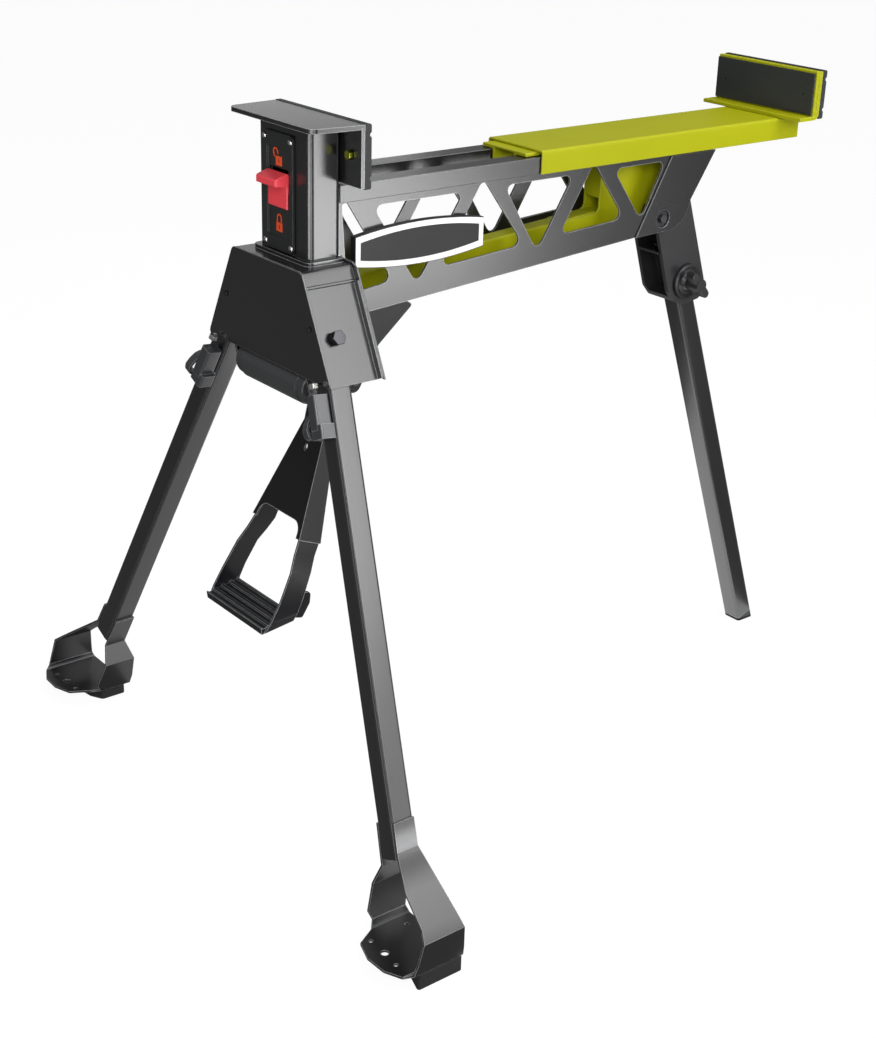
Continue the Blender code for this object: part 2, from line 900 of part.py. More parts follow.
# Roller and its two brackets
turned(
    "transport_roller",
    [(4.6, -roller_half), (roller_end_radius - 1.5, -roller_half), (roller_end_radius, -roller_half + 1.5),
     (roller_end_radius, -roller_tread_half), (roller_radius, -roller_tread_half),
     (roller_radius, roller_tread_half), (roller_end_radius, roller_tread_half),
     (roller_end_radius, roller_half - 1.5), (roller_end_radius - 1.5, roller_half), (4.6, roller_half)],
    (0, 1, 0),
    at(roller_x, 0, roller_z),
    PLASTIC,
    28,
)
bearings = []
for side in (-1.0, 1.0):
    ear = rounded(
        [(-22.2, 604.0), (-22.2, 586.0), (-14.0, 548.0), (8.0, 548.0), (10.0, 590.0), (2.0, 604.0)],
        [2.0, 4.0, 8.0, 8.0, 6.0, 2.0],
    )
    low = min(side * 73.3, side * 76.3)
    bearings.append(plate("roller_bracket", ear, "xz", low, low + 3.0, BLACK))
roller_bracket = bearings[0]
web = box("roller_web", (-22.2, -75.0, 590.0), (-19.2, 75.0, 604.0), BLACK)
axle_steps = [(roller_axle_radius, -roller_axle_half, roller_axle_half)]
axle = pin("roller_axle", axle_steps, (0, 1, 0), at(roller_x, 0, roller_z), BLACK, steps=12)
join(roller_bracket, bearings[1], web, axle)

# Pedal bearers under the front of the beam
bearer = rounded(
    [(bearer_front_x, bearer_top_z), (bearer_front_x, bearer_top_z - 49.0),
     (pedal_axis_x - 40.0, bearer_top_z - 49.0), (pedal_axis_x - 12.0, pedal_axis_z - 14.0),
     (pedal_axis_x + 4.0, pedal_axis_z - 18.0), (pedal_axis_x + 34.0, pedal_axis_z + 37.0),
     (pedal_axis_x + 84.0, bearer_top_z - 21.0), (pedal_axis_x + 50.0, bearer_top_z)],
    [2.0, 4.0, 20.0, 10.0, 12.0, 10.0, 3.0, 0.0],
)
bearer_outer = beam_plate_outer_y - beam_plate_thick - fit_gap
bearer_hole = circle(pedal_axis_x, pedal_axis_z, axle_radius + fit_gap)
walls = []
for side in (-1.0, 1.0):
    low = min(side * bearer_outer, side * (bearer_outer - bearer_thick))
    walls.append(
        plate("pedal_bearer", bearer, "xz", low, low + bearer_thick, BLACK, holes=[bearer_hole])
    )
bearer_web = box(
    "bearer_web",
    (bearer_front_x, -bearer_outer + 1.0, bearer_top_z - 45.0),
    (bearer_front_x + bearer_thick, bearer_outer - 1.0, bearer_top_z - 24.0),
    BLACK,
)
join(walls[0], walls[1], bearer_web)
pin(
    "pedal_axle",
    [(7.5, -bearer_outer - 3.0, -bearer_outer - fit_gap), (axle_radius, -bearer_outer - fit_gap,
      bearer_outer + fit_gap), (7.5, bearer_outer + fit_gap, bearer_outer + 3.0)],
    (0, 1, 0),
    at(pedal_axis_x, 0, pedal_axis_z),
    STEEL,
    steps=16,
)

# Drive bar and clutch plate
def bar_top(x):
    return bottom_z(x) + bar_above


bar_section = rounded(
    [
        (-bar_half, -bar_high / 2),
        (bar_half, -bar_high / 2),
        (bar_half, bar_high / 2),
        (-bar_half, bar_high / 2),
    ],
    bar_corner,
    3,
)
bar_inner_half = bar_half - bar_wall
bar_inner_high = bar_high / 2 - bar_wall
bar_inside = rounded(
    [(-bar_inner_half, -bar_inner_high), (bar_inner_half, -bar_inner_high),
     (bar_inner_half, bar_inner_high), (-bar_inner_half, bar_inner_high)],
    1.0,
    2,
)
bar_tilt = math.atan(beam_bottom_slope)
drive_bar = plate(
    "drive_bar",
    bar_section,
    "yz",
    0.0,
    (bar_rear_x - bar_front_x) / math.cos(bar_tilt),
    GREEN,
    holes=[bar_inside],
    pivot=(0, 0, 0),
    turn=Matrix.Rotation(-bar_tilt, 3, "Y"),
)
drive_bar.location = at(bar_front_x, 0, bar_top(bar_front_x) - bar_high / 2)
clutch_z = bar_top(clutch_x + clutch_thick / 2) - bar_high / 2
clutch_ring = rounded(
    [(-28.0, clutch_z - 34.0), (28.0, clutch_z - 34.0), (28.0, clutch_z + 34.0), (-28.0, clutch_z + 34.0)],
    8.0,
)
grip_half = bar_half + 0.6
grip_high = bar_high / 2 + 1.0
clutch_hole = rounded(
    [(-grip_half, clutch_z - grip_high), (grip_half, clutch_z - grip_high),
     (grip_half, clutch_z + grip_high), (-grip_half, clutch_z + grip_high)],
    2.0,
    2,
)
plate("clutch_plate", clutch_ring, "yz", clutch_x, clutch_x + clutch_thick, STEEL, holes=[clutch_hole])

# Foot pedal: a tapering channel with a treadle loop
near_edge = {
    "top_front": (58.0, 20.0, 560.0),
    "top_rear": (84.0, 20.0, 556.0),
    "neck_front": (43.0, 21.0, 492.0),
    "neck_rear": (58.0, 21.0, 485.0),
    "wide_front": (-15.0, 50.0, 371.0),
    "wide_rear": (15.0, 50.0, 359.0),
}
names = list(near_edge)
pedal_points = []
for s in (-1.0, 1.0):
    for key in names:
        x, y, z = near_edge[key]
        pedal_points.append(Vector((x - pedal_axis_x, s * y, z - pedal_axis_z)) * MM)
n = {key: i for i, key in enumerate(names)}
f = {key: i + len(names) for i, key in enumerate(names)}
pedal_faces = []
for side_index in (n, f):
    pedal_faces.append([side_index[k] for k in ("top_front", "top_rear", "neck_rear", "neck_front")])
    pedal_faces.append([side_index[k] for k in ("neck_front", "neck_rear", "wide_rear", "wide_front")])
pedal_faces.append([n["neck_front"], n["wide_front"], f["wide_front"], f["neck_front"]])
pedal_faces.append([n["top_front"], n["neck_front"], f["neck_front"], f["top_front"]])
pedal_mesh = mesh_of("foot_pedal", pedal_points, pedal_faces)
pedal = new_object("foot_pedal", pedal_mesh, at(pedal_axis_x, 0, pedal_axis_z))
thick = pedal.modifiers.new("sheet", "SOLIDIFY")
thick.thickness = pedal_wall * MM
thick.offset = 0.0
thick.use_even_offset = True
keep(pedal, BLACK)
# The loop's arms start inside the flanges and bow outward on the way down.
arm_stations = [
    (-4.9, 387.0, 19.8, 377.0, 43.9),
    (-14.0, 371.0, 14.0, 359.0, 47.8),
    (-23.2, 355.0, 5.0, 346.0, 51.8),
    (-34.0, 336.0, -5.0, 330.0, 59.0),
    (-53.5, 302.0, -20.0, 301.0, 64.0),
    (-66.0, 282.0, -28.0, 285.0, 64.5),
    (-74.0, 269.5, -33.0, 275.0, 62.5),
]
for s in (-1.0, 1.0):
    points = []
    for front_x, front_z, rear_x, rear_z, y in arm_stations:
        for x, z in ((front_x, front_z), (rear_x, rear_z)):
            points.append(Vector((x - pedal_axis_x, s * y, z - pedal_axis_z)) * MM)
    faces = [(2 * i, 2 * i + 1, 2 * i + 3, 2 * i + 2) for i in range(len(arm_stations) - 1)]
    arm = new_object("pedal_arm", mesh_of("pedal_arm", points, faces), at(pedal_axis_x, 0, pedal_axis_z))
    sheet = arm.modifiers.new("sheet", "SOLIDIFY")
    sheet.thickness = pedal_wall * MM
    sheet.offset = 0.0
    sheet.use_even_offset = True
    join(pedal, arm)
for s in (-1.0, 1.0):
    outline = rounded(
        [(58.0, 545.0), (84.0, 545.0), (84.0, 570.0), (34.0, 637.0), (24.0, 637.0), (24.0, 625.0),
         (55.0, 572.0)],
        [0.0, 0.0, 10.0, 4.0, 3.0, 3.0, 10.0],
    )
    ear = plate(
        "pedal_ear",
        outline,
        "xz",
        min(s * 18.6, s * 21.4),
        max(s * 18.6, s * 21.4),
        BLACK,
    )
    join(pedal, ear)
cut(pedal, tool_round(axle_radius + running_gap, 60.0, (0, 1, 0), at(pedal_axis_x, 0, pedal_axis_z)))
tread_front = Vector((-77.0, 0, 268.0))
tread_rear = Vector((-31.0, 0, 275.0))
tread_section = []
along = (tread_rear - tread_front).normalized()
up = Vector((-along.z, 0, along.x))
deep = (tread_rear - tread_front).length
ribs = [(0.0, 0.0), (0.0, 9.0)]
for k in range(tread_ribs):
    a = deep * (k + 0.25) / tread_ribs
    b = deep * (k + 0.75) / tread_ribs
    ribs += [(a - 1.0, 9.0), (a, 7.0), (b, 7.0), (b + 1.0, 9.0)]
ribs += [(deep, 9.0), (deep, 0.0)]
for u, w in ribs:
    place = tread_front + along * u + up * w
    tread_section.append((place.x, place.z))
tread = plate("tread", tread_section, "xz", -62.0, 62.0, BLACK)
stop_lug = plate(
    "stop_lug",
    rounded(
        [(-40.0, 275.0), (-40.0, 282.0), (-22.0, 299.0), (2.0, 300.0), (0.0, 284.0), (-11.0, 267.0)],
        [0.0, 0.0, 8.0, 5.0, 5.0, 4.0],
    ),
    "xz",
    -50.0,
    -46.0,
    BLACK,
)
join(pedal, tread, stop_lug)
cut(pedal, tool_round(2.6, 30.0, (1, 0, 0.5), at(25.0, 0.0, 463.0), small_round_steps))
window_top = tool_plate(
    rounded([(-46.0, 340.0), (46.0, 340.0), (42.0, 389.0), (-42.0, 389.0)], [0.0, 0.0, 14.0, 14.0], 5),
    "yz",
    -34.0,
    14.0,
)
cut(pedal, window_top)

# Spring on the pedal axle
coil = bpy.data.curves.new("pedal_spring", "CURVE")
coil.dimensions = "3D"
coil.bevel_depth = spring_wire * MM
coil.bevel_resolution = 1
coil.use_fill_caps = True
turns = 5
per_turn = 12
coil_radius = axle_radius + spring_wire + running_gap
spline = coil.splines.new("POLY")
path = [Vector((-10.0, -11.0, -34.0))]
for k in range(turns * per_turn + 1):
    a = 2 * math.pi * k / per_turn + math.pi
    path.append(Vector((coil_radius * math.cos(a), -11.0 + 22.0 * k / (turns * per_turn),
                        coil_radius * math.sin(a))))
path.append(Vector((path[-1].x, 11.0, 26.0)))
spline.points.add(len(path) - 1)
for point, place in zip(spline.points, path):
    point.co = (place.x * MM, place.y * MM, place.z * MM, 1.0)
spring = bpy.data.objects.new("pedal_spring", coil)
PARTS.objects.link(spring)
spring.location = at(pedal_axis_x, 0, pedal_axis_z)
keep(spring, STEEL)

# Sliding jaw
channel_section = [
    (-slide_half, slide_bottom_z),
    (-slide_half, slide_top_z),
    (slide_half, slide_top_z),
    (slide_half, slide_bottom_z),
    (slide_half - slide_wall, slide_bottom_z),
    (slide_half - slide_wall, slide_top_z - slide_thick),
    (-slide_half + slide_wall, slide_top_z - slide_thick),
    (-slide_half + slide_wall, slide_bottom_z),
]
channel_section = rounded(
    channel_section, [0.0, 4.0, 4.0, 0.0, 0.0, 1.0, 1.0, 0.0], 3
)
plate("slide_channel", channel_section, "yz", slide_front_x, slide_rear_x, GREEN)
guide_top = slide_top_z - slide_thick - fit_gap
guide_section = [
    (-guide_half, rail_top_z + running_gap),
    (-guide_half, guide_top),
    (guide_half, guide_top),
    (guide_half, rail_top_z + running_gap),
    (guide_leg_half, rail_top_z + running_gap),
    (guide_leg_half, guide_leg_bottom_z),
    (guide_leg_half - guide_leg_thick, guide_leg_bottom_z),
    (guide_leg_half - guide_leg_thick, guide_top - 2.6),
    (-guide_leg_half + guide_leg_thick, guide_top - 2.6),
    (-guide_leg_half + guide_leg_thick, guide_leg_bottom_z),
    (-guide_leg_half, guide_leg_bottom_z),
    (-guide_leg_half, rail_top_z + running_gap),
]
plate("slide_guide", guide_section, "yz", guide_front_x, guide_rear_x, GREEN)

# Riser under the guide: its two cheeks reach down on both sides of the drive bar
riser_half = bar_half + running_gap + riser_wall
riser_outline = rounded(
    [
        (riser_front_x, guide_top - 2.9),
        (riser_front_x, bar_top(riser_front_x) - 1.0),
        (riser_nose_x, bar_top(riser_nose_x) - 1.0),
        (riser_nose_x, bar_top(riser_nose_x) - riser_grip),
        (riser_rear_x, bar_top(riser_rear_x) - riser_grip),
        (riser_rear_x + 8.0, guide_top - 2.9),
    ],
    [0.0, 9.0, 4.0, 4.0, 8.0, 0.0],
    4,
)
riser = plate("jaw_riser", riser_outline, "xz", -riser_half, riser_half, GREEN)
way_low_x = riser_nose_x - 30.0
way_high_x = riser_rear_x + 60.0
bar_way = tool_plate(
    [
        (way_low_x, bar_top(way_low_x) - 90.0),
        (way_low_x, bar_top(way_low_x) + bar_rise_room),
        (way_high_x, bar_top(way_high_x) + bar_rise_room),
        (way_high_x, bar_top(way_high_x) - 90.0),
    ],
    "xz",
    -riser_half + riser_wall,
    riser_half - riser_wall,
)
room_front_x = riser_front_x + riser_wall
room_rear_x = riser_rear_x - riser_wall
riser_room = tool_plate(
    [
        (room_front_x, bar_top(room_front_x) + bar_rise_room + riser_wall),
        (room_front_x, guide_top + 20.0),
        (room_rear_x + 8.0, guide_top + 20.0),
        (room_rear_x, bar_top(room_rear_x) + bar_rise_room + riser_wall),
    ],
    "xz",
    -riser_half + riser_wall,
    riser_half - riser_wall,
)
cut(riser, bar_way, riser_room)

# Moving jaw bracket, pads and screws
bracket_section = rounded(
    [
        (foot_flange_front_x, slide_top_z + fit_gap),
        (foot_flange_front_x, slide_top_z + fit_gap + moving_flange_thick),
        (moving_plate_x, slide_top_z + fit_gap + moving_flange_thick),
        (moving_plate_x, jaw_top_z - 1.0),
        (moving_plate_x + moving_plate_thick, jaw_top_z - 1.0),
        (moving_plate_x + moving_plate_thick, slide_top_z + fit_gap),
    ],
    [1.0, 1.0, 0.0, 1.0, 1.0, 8.0],
    4,
)
jaw_bracket = plate("sliding_jaw_bracket", bracket_section, "xz", -jaw_half, jaw_half, GREEN)
front_bottom = slide_top_z + fit_gap + moving_flange_thick + 1.0
front_pad = jaw_pad("sliding_jaw_pad_front", moving_plate_x - fit_gap, -1.0, front_bottom, jaw_top_z)
rear_x = moving_plate_x + moving_plate_thick + fit_gap
rear_pad = jaw_pad("sliding_jaw_pad_rear", rear_x, 1.0, front_bottom - 5.0, jaw_top_z)
for side in (-1.0, 1.0):
    place = at(moving_plate_x, side * jaw_screw_y, moving_screw_z)
    for piece in (jaw_bracket, front_pad, rear_pad):
        cut(piece, tool_round(screw_radius + fit_gap, 30.0, (1, 0, 0), place, small_round_steps))
    sink = at(moving_plate_x - fit_gap - pad_thick, side * jaw_screw_y, moving_screw_z)
    cut(front_pad, tool_round(screw_head_radius + 1.2, 5.2, (1, 0, 0), sink, small_round_steps))
    sink = at(rear_x + pad_thick, side * jaw_screw_y, moving_screw_z)
    cut(rear_pad, tool_round(screw_head_radius + 1.2, 5.2, (1, 0, 0), sink, small_round_steps))
for word, side in (("near", -1.0), ("far", 1.0)):
    head_x = moving_plate_x - fit_gap - pad_thick + 4.9
    end_x = rear_x + pad_thick - 4.9
    bolt(
        "sliding_jaw_screw_" + word,
        (1, 0, 0),
        at(head_x, side * jaw_screw_y, moving_screw_z),
        STEEL,
        screw_head_radius,
        3.2,
        screw_radius,
        end_x - head_x,
        nut_high=4.0,
    )

# Front legs
tube_half = tube_side / 2


def square_ring(half, radius, steps=3):
    return rounded([(-half, -half), (half, -half), (half, half), (-half, half)], radius, steps)


for word, side in (("near", -1.0), ("far", 1.0)):
    # In the leg's own frame it hangs along -Z and the fold axis is Y.
    turn = Matrix.Rotation(-side * -splay, 3, "X") @ Matrix.Rotation(leg_lean, 3, "Y")
    pivot_place = at(leg_pivot_x, side * leg_pivot_y, leg_pivot_z)
    leg = plate(
        "front_leg_" + word,
        square_ring(tube_half, tube_corner),
        "xy",
        -leg_tube_end,
        leg_tube_top,
        BLACK,
        holes=[square_ring(tube_half - tube_wall, tube_inner_corner, 2)],
        pivot=(0, 0, 0),
        turn=turn,
    )
    leg.location = pivot_place
    axis = turn @ Vector((0, side, 0))
    cut(leg, tool_round(leg_bolt_hole, 30.0, axis, pivot_place, small_round_steps))
    head_place = pivot_place + axis * (leg_bolt_out * MM)
    bolt(
        "leg_pivot_bolt_" + word,
        -axis,
        head_place,
        STEEL,
        leg_bolt_head_radius,
        leg_bolt_head_high,
        leg_bolt_radius,
        leg_bolt_length,
        nut_high=leg_bolt_head_high,
    )

    # Foot: a bent strap from the tube's inner side, under the foot and up its outer side
    frame = Matrix.Translation(pivot_place) @ turn.to_4x4()
    back = frame.inverted()
    down_dir = turn @ Vector((0, 0, -1))
    half_n = tube_half + strap_thick / 2 + fit_gap
    stations = []
    for along_leg, ahead in ((strap_top, 14.0), (588.0, 15.5)):
        spot = (pivot_place + down_dir * (along_leg * MM) - axis * (half_n * MM)) / MM
        stations.append((spot.x - ahead, spot.x + 14.0, abs(spot.y), spot.z))
    rear = column_front_x + foot_rear_x
    for front, behind, y, z in (
        (-95.0, 6.0, foot_inner_y - 8.0, 66.0),
        (-106.0, 5.0, foot_inner_y - 1.5, 36.0),
        (-101.0, 2.0, foot_inner_y + 1.0, 25.0),
        (-112.0, 0.0, foot_inner_y + 13.0, foot_base_z),
        (-136.0, 0.0, foot_inner_y + 26.0, foot_base_z),
        (-145.0, 0.0, foot_inner_y + 52.0, foot_base_z),
        (-144.0, 0.0, foot_outer_y - 30.0, foot_base_z),
        (-134.0, 0.0, foot_outer_y - 9.0, foot_base_z),
        (-125.0, 0.0, foot_outer_y - 1.0, foot_base_z + 4.0),
        (-121.0, 0.0, foot_outer_y, foot_base_z + 14.0),
        (-113.0, 0.0, foot_outer_y, foot_wall_z),
        (-107.0, 0.0, foot_outer_y - 12.0, foot_wall_z + 9.0),
        (-102.0, 0.0, foot_outer_y - 48.0, foot_wall_z + 33.0),
    ):
        stations.append((column_front_x + front, rear + behind, y, z))
    for along_leg, ahead in ((573.0, 15.0), (strap_top, 14.0)):
        spot = (pivot_place + down_dir * (along_leg * MM) + axis * (half_n * MM)) / MM
        stations.append((spot.x - ahead, spot.x + 14.0, abs(spot.y), spot.z))
    points = []
    for front, rear, y, z in stations:
        points.append(back @ (Vector((front, side * y, z)) * MM))
        points.append(back @ (Vector((rear, side * y, z)) * MM))
    faces = []
    for i in range(len(stations) - 1):
        faces.append((2 * i, 2 * i + 1, 2 * i + 3, 2 * i + 2))
    strap = new_object("foot_strap_" + word, mesh_of("strap", points, faces), pivot_place, turn)
    sheet = strap.modifiers.new("sheet", "SOLIDIFY")
    sheet.thickness = strap_thick * MM
    sheet.offset = 0.0
    sheet.use_even_offset = True
    keep(strap, BLACK)
    for x, y, radius in (
        (-124.3, foot_inner_y + 30.0, 2.4),
        (-124.3, foot_inner_y + 56.0, 4.6),
        (-126.9, foot_inner_y + 80.0, 2.4),
        (-73.3, foot_inner_y + 29.0, 2.6),
    ):
        cut(strap, tool_round(radius, 10.0, (0, 0, 1), at(x, side * y, foot_base_z), small_round_steps))
    # Sole block under the strap's base
    sole_outline = rounded(
        [(-117.0, side * (foot_outer_y - 3.0)), (-108.0, side * (foot_outer_y - 30.0)),
         (-100.0, side * (foot_inner_y + 34.0)), (-90.0, side * (foot_inner_y + 16.0)),
         (foot_rear_x + 2.0, side * (foot_inner_y + 16.0)),
         (foot_rear_x + 2.0, side * (foot_outer_y - 3.0))],
        [3.0, 8.0, 8.0, 6.0, 3.0, 3.0],
        3,
    )
    sole_high = foot_base_z - strap_thick / 2 - fit_gap
    sole = plate("foot_sole_" + word, sole_outline, "xy", 0.0, sole_high, RUBBER)
    sole.data.transform(back @ Matrix.Translation(sole.location))
    sole.matrix_world = frame
    # Leg lock: a casting in front of the tube, with a saddle round it at its lower end
    lock_front = -tube_half - lock_ahead
    saddle_ring = rounded(
        [
            (lock_front + 0.6, -tube_half - lock_proud),
            (-tube_half - lock_back, -tube_half - lock_proud),
            (-tube_half - lock_back, -tube_half + 1.0),
            (-tube_half + 1.0, -tube_half + 1.0),
            (-tube_half + 1.0, tube_half - 1.0),
            (-tube_half - 5.5, tube_half - 1.0),
            (-tube_half - 5.5, -tube_half + lock_wide + 0.5),
            (lock_front + 0.6, -tube_half + lock_wide + 0.5),
        ],
        [3.0, 2.0, 0.0, 0.0, 0.0, 1.0, 0.0, 3.0],
        3,
    )
    casting = plate(
        "leg_lock_body_" + word,
        saddle_ring,
        "xy",
        -lock_bottom,
        -lock_saddle_top,
        CASTING,
        pivot=(0, 0, 0),
        turn=turn,
    )
    casting.location = pivot_place
    block_ring = rounded(
        [
            (lock_front, -tube_half),
            (-tube_half - 2.0, -tube_half),
            (-tube_half - 2.0, -tube_half + lock_wide),
            (lock_front, -tube_half + lock_wide),
        ],
        3.0,
        3,
    )
    block = plate(
        "lock_block",
        block_ring,
        "xy",
        -lock_saddle_top - 6.0,
        -lock_top,
        CASTING,
        pivot=(0, 0, 0),
        turn=turn,
    )
    block.location = pivot_place
    add_bevel(block, 2.0, 2, 50)
    tube_room = plate(
        "cut_plate",
        square_ring(tube_half + fit_gap, tube_corner),
        "xy",
        -lock_bottom - 10.0,
        -lock_top + 10.0,
        BLACK,
        pivot=(0, 0, 0),
        turn=turn,
    )
    tube_room.location = pivot_place
    join(casting, block)
    cut(casting, hide(tube_room))
    # The catch is a curved strip, sprung outward from its upper end.
    catch_section = rounded(
        [
            (0.0, 1.5),
            (-7.5, -2.5),
            (-13.0, -11.0),
            (-15.5, -19.0),
            (-13.5, -27.0),
            (-8.5, -30.0),
            (-2.5, -29.0),
            (-3.0, -25.5),
            (-8.0, -26.5),
            (-10.8, -24.5),
            (-12.2, -18.5),
            (-10.0, -12.5),
            (-6.0, -5.5),
            (0.0, -2.0),
        ],
        [1.0, 4.0, 5.0, 5.0, 4.0, 3.0, 1.0, 1.0, 2.0, 2.0, 4.0, 5.0, 4.0, 1.0],
        3,
    )
    catch = plate(
        "leg_lock_catch_" + word,
        catch_section,
        "xz",
        -catch_half,
        catch_half,
        CASTING,
        pivot=(0, 0, 0),
        turn=turn,
    )
    catch_y = -tube_half + lock_wide + 0.5 + fit_gap + catch_half
    catch.location = frame @ (Vector((-tube_half - 10.5, catch_y, -catch_top)) * MM)

# Rear leg bracket, moulded as an open trough with two ears
def from_rear_pivot(offsets):
    return [(rear_pivot_x + x, rear_pivot_z + z) for x, z in offsets]


side_outline = rounded(
    from_rear_pivot([
        (-18.0, -10.0), (-8.0, 16.0), (14.0, 18.0), (72.0, 18.0), (113.0, -99.0), (118.0, -115.0),
        (107.0, -130.0), (79.0, -135.0), (59.0, -128.0), (46.0, -113.0), (17.0, -22.0), (-5.0, -19.0),
    ]),
    [8.0, 10.0, 6.0, 6.0, 8.0, 8.0, 8.0, 12.0, 10.0, 10.0, 8.0, 6.0],
    4,
)
rear_bracket = plate(
    "rear_leg_bracket",
    side_outline,
    "xz",
    -bracket_half,
    bracket_half,
    PLASTIC,
    pivot=(rear_pivot_x, 0, rear_pivot_z),
)
tube_gap = tube_half + fit_gap
trough = tool_plate(
    from_rear_pivot([
        (-41.0, 34.0), (159.0, 34.0), (159.0, -29.0), (67.0, -34.0), (50.0, -46.0),
        (73.0, -113.0), (39.0, -126.0), (-41.0, -86.0),
    ]),
    "xz",
    -trough_half,
    trough_half,
)
cut(rear_bracket, trough)
rib = plate(
    "rib",
    from_rear_pivot([(24.0, -54.5), (52.0, -65.0), (53.0, -68.0), (25.0, -58.0)]),
    "xz",
    -trough_half - 0.5,
    trough_half + 0.5,
    PLASTIC,
)
join(rear_bracket, rib)
tube_cut_centre = Vector((rear_axis_x, 0, rear_axis_z))
axis_turn = Matrix.Rotation(-rear_rake, 3, "Y")
leg_cut = plate(
    "cut_plate",
    square_ring(tube_gap, 3.0),
    "xy",
    -140.0,
    rear_tube_up + fit_gap,
    BLACK,
    pivot=(0, 0, 0),
    turn=axis_turn,
)
leg_cut.location = at(*tube_cut_centre)
cut(rear_bracket, hide(leg_cut))
for side in (-1.0, 1.0):
    reach = beam_plate_outer_y - beam_plate_thick - running_gap
    boss = pin(
        "boss",
        [(boss_radius, boss_inner_y, reach)],
        (0, side, 0),
        at(rear_pivot_x, 0, rear_pivot_z),
        PLASTIC,
        steps=20,
    )
    join(rear_bracket, boss)
bore_radius = rear_bolt_radius + running_gap
cut(rear_bracket, tool_round(bore_radius, 60.0, (0, 1, 0), at(rear_pivot_x, 0, rear_pivot_z)))
knob_x = rear_axis_x - 3.2
knob_z = rear_axis_z - 0.5
knob_place = at(knob_x, 0, knob_z)
cut(rear_bracket, tool_round(knob_stud_hole, 60.0, (0, 1, 0), knob_place))

rear_end_w = rear_axis_z / math.cos(rear_rake)
rear_tube = plate(
    "rear_leg",
    square_ring(tube_half, tube_corner),
    "xy",
    -rear_end_w + rear_sole_high,
    rear_tube_up,
    BLACK,
    holes=[square_ring(tube_half - tube_wall, tube_inner_corner, 2)],
    pivot=(0, 0, 0),
    turn=axis_turn,
)
rear_tube.location = at(*tube_cut_centre)
cut(rear_tube, tool_round(knob_stud_hole, 60.0, (0, 1, 0), knob_place))
# Rubber foot: a sole as wide as the tube, with a plug that fills the tube's end
rear_foot = plate(
    "rear_foot_cap",
    square_ring(tube_half, tube_corner),
    "xy",
    -rear_end_w - 14.0,
    -rear_end_w + rear_sole_high - fit_gap,
    RUBBER,
    pivot=(0, 0, 0),
    turn=axis_turn,
)
rear_foot.location = at(*tube_cut_centre)
plug = plate(
    "rear_plug",
    square_ring(tube_half - tube_wall - fit_gap, tube_inner_corner, 2),
    "xy",
    -rear_end_w,
    -rear_end_w + rear_sole_high + 40.0,
    RUBBER,
    pivot=(0, 0, 0),
    turn=axis_turn,
)
plug.location = at(*tube_cut_centre)
join(rear_foot, plug)
ground = tool_box((rear_axis_x + 100.0, -60.0, -60.0), (rear_axis_x + 360.0, 60.0, 0.0))
cut(rear_foot, ground)

# Wing knob with a dished disc on the near side of the bracket, on a threaded stud
wing_turn = math.radians(-50.0)
wing_reach = 23.0
wing_wide = 5.5
wing_ring = []
for end in (1.0, -1.0):
    for k in range(7):
        a = wing_turn + math.pi / 2 * (1 - end) - math.pi / 2 + math.pi * k / 6
        middle_x = end * (wing_reach - wing_wide) * math.cos(wing_turn)
        middle_z = end * (wing_reach - wing_wide) * math.sin(wing_turn)
        wing_ring.append(
            (knob_x + middle_x + wing_wide * math.cos(a), knob_z + middle_z + wing_wide * math.sin(a))
        )
knob = plate(
    "rear_leg_knob",
    wing_ring,
    "xz",
    -knob_out_y,
    -knob_out_y + 14.0,
    PLASTIC,
    pivot=(knob_x, -40.0, knob_z),
)
add_bevel(knob, 2.0, 2, 60)
hub = turned(
    "hub",
    [
        (5.0, -25.0 - fit_gap),
        (knob_disc_radius - 1.0, -25.0 - fit_gap),
        (knob_disc_radius, -26.5),
        (knob_disc_radius, -29.5),
        (knob_disc_radius - 3.0, -30.5),
        (knob_disc_radius - 7.0, -28.5),
        (13.0, -29.0),
        (10.0, -33.0),
        (9.0, -knob_out_y - 1.0),
        (5.0, -knob_out_y - 1.0),
    ],
    (0, 1, 0),
    at(knob_x, 0, knob_z),
    PLASTIC,
    24,
)
stud = pin(
    "stud",
    [(5.6, -knob_out_y - 0.8, -27.0), (4.0, -27.0, 25.4), (7.0, 25.4, 30.0)],
    (0, 1, 0),
    knob_place,
    STEEL,
    steps=12,
)
join(knob, hub, stud)
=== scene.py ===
# Looks of the clamping work stand: materials, small details, light and camera.
import math

import bmesh
import bpy
from mathutils import Matrix, Quaternion, Vector


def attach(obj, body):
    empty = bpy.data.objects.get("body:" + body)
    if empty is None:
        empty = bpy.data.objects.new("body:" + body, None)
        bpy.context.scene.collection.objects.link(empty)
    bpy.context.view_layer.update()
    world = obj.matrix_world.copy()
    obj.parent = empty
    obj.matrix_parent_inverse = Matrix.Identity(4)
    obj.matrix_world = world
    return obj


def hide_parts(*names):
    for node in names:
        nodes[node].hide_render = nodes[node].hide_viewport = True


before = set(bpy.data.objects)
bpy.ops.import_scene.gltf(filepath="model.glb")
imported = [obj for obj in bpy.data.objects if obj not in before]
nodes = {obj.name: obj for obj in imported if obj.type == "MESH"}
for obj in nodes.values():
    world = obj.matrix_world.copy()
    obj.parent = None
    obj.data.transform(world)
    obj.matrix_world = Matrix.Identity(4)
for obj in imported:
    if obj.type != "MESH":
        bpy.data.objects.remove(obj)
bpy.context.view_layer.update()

MM = 0.001
# Front face of the jaw column, from the middle of the stand's box, in millimetres
column_x = -362.4


def at(x, y, z):
    """A place in millimetres from the column's front, the stand's middle line and the ground."""
    return Vector(((x + column_x) * MM, y * MM, z * MM))


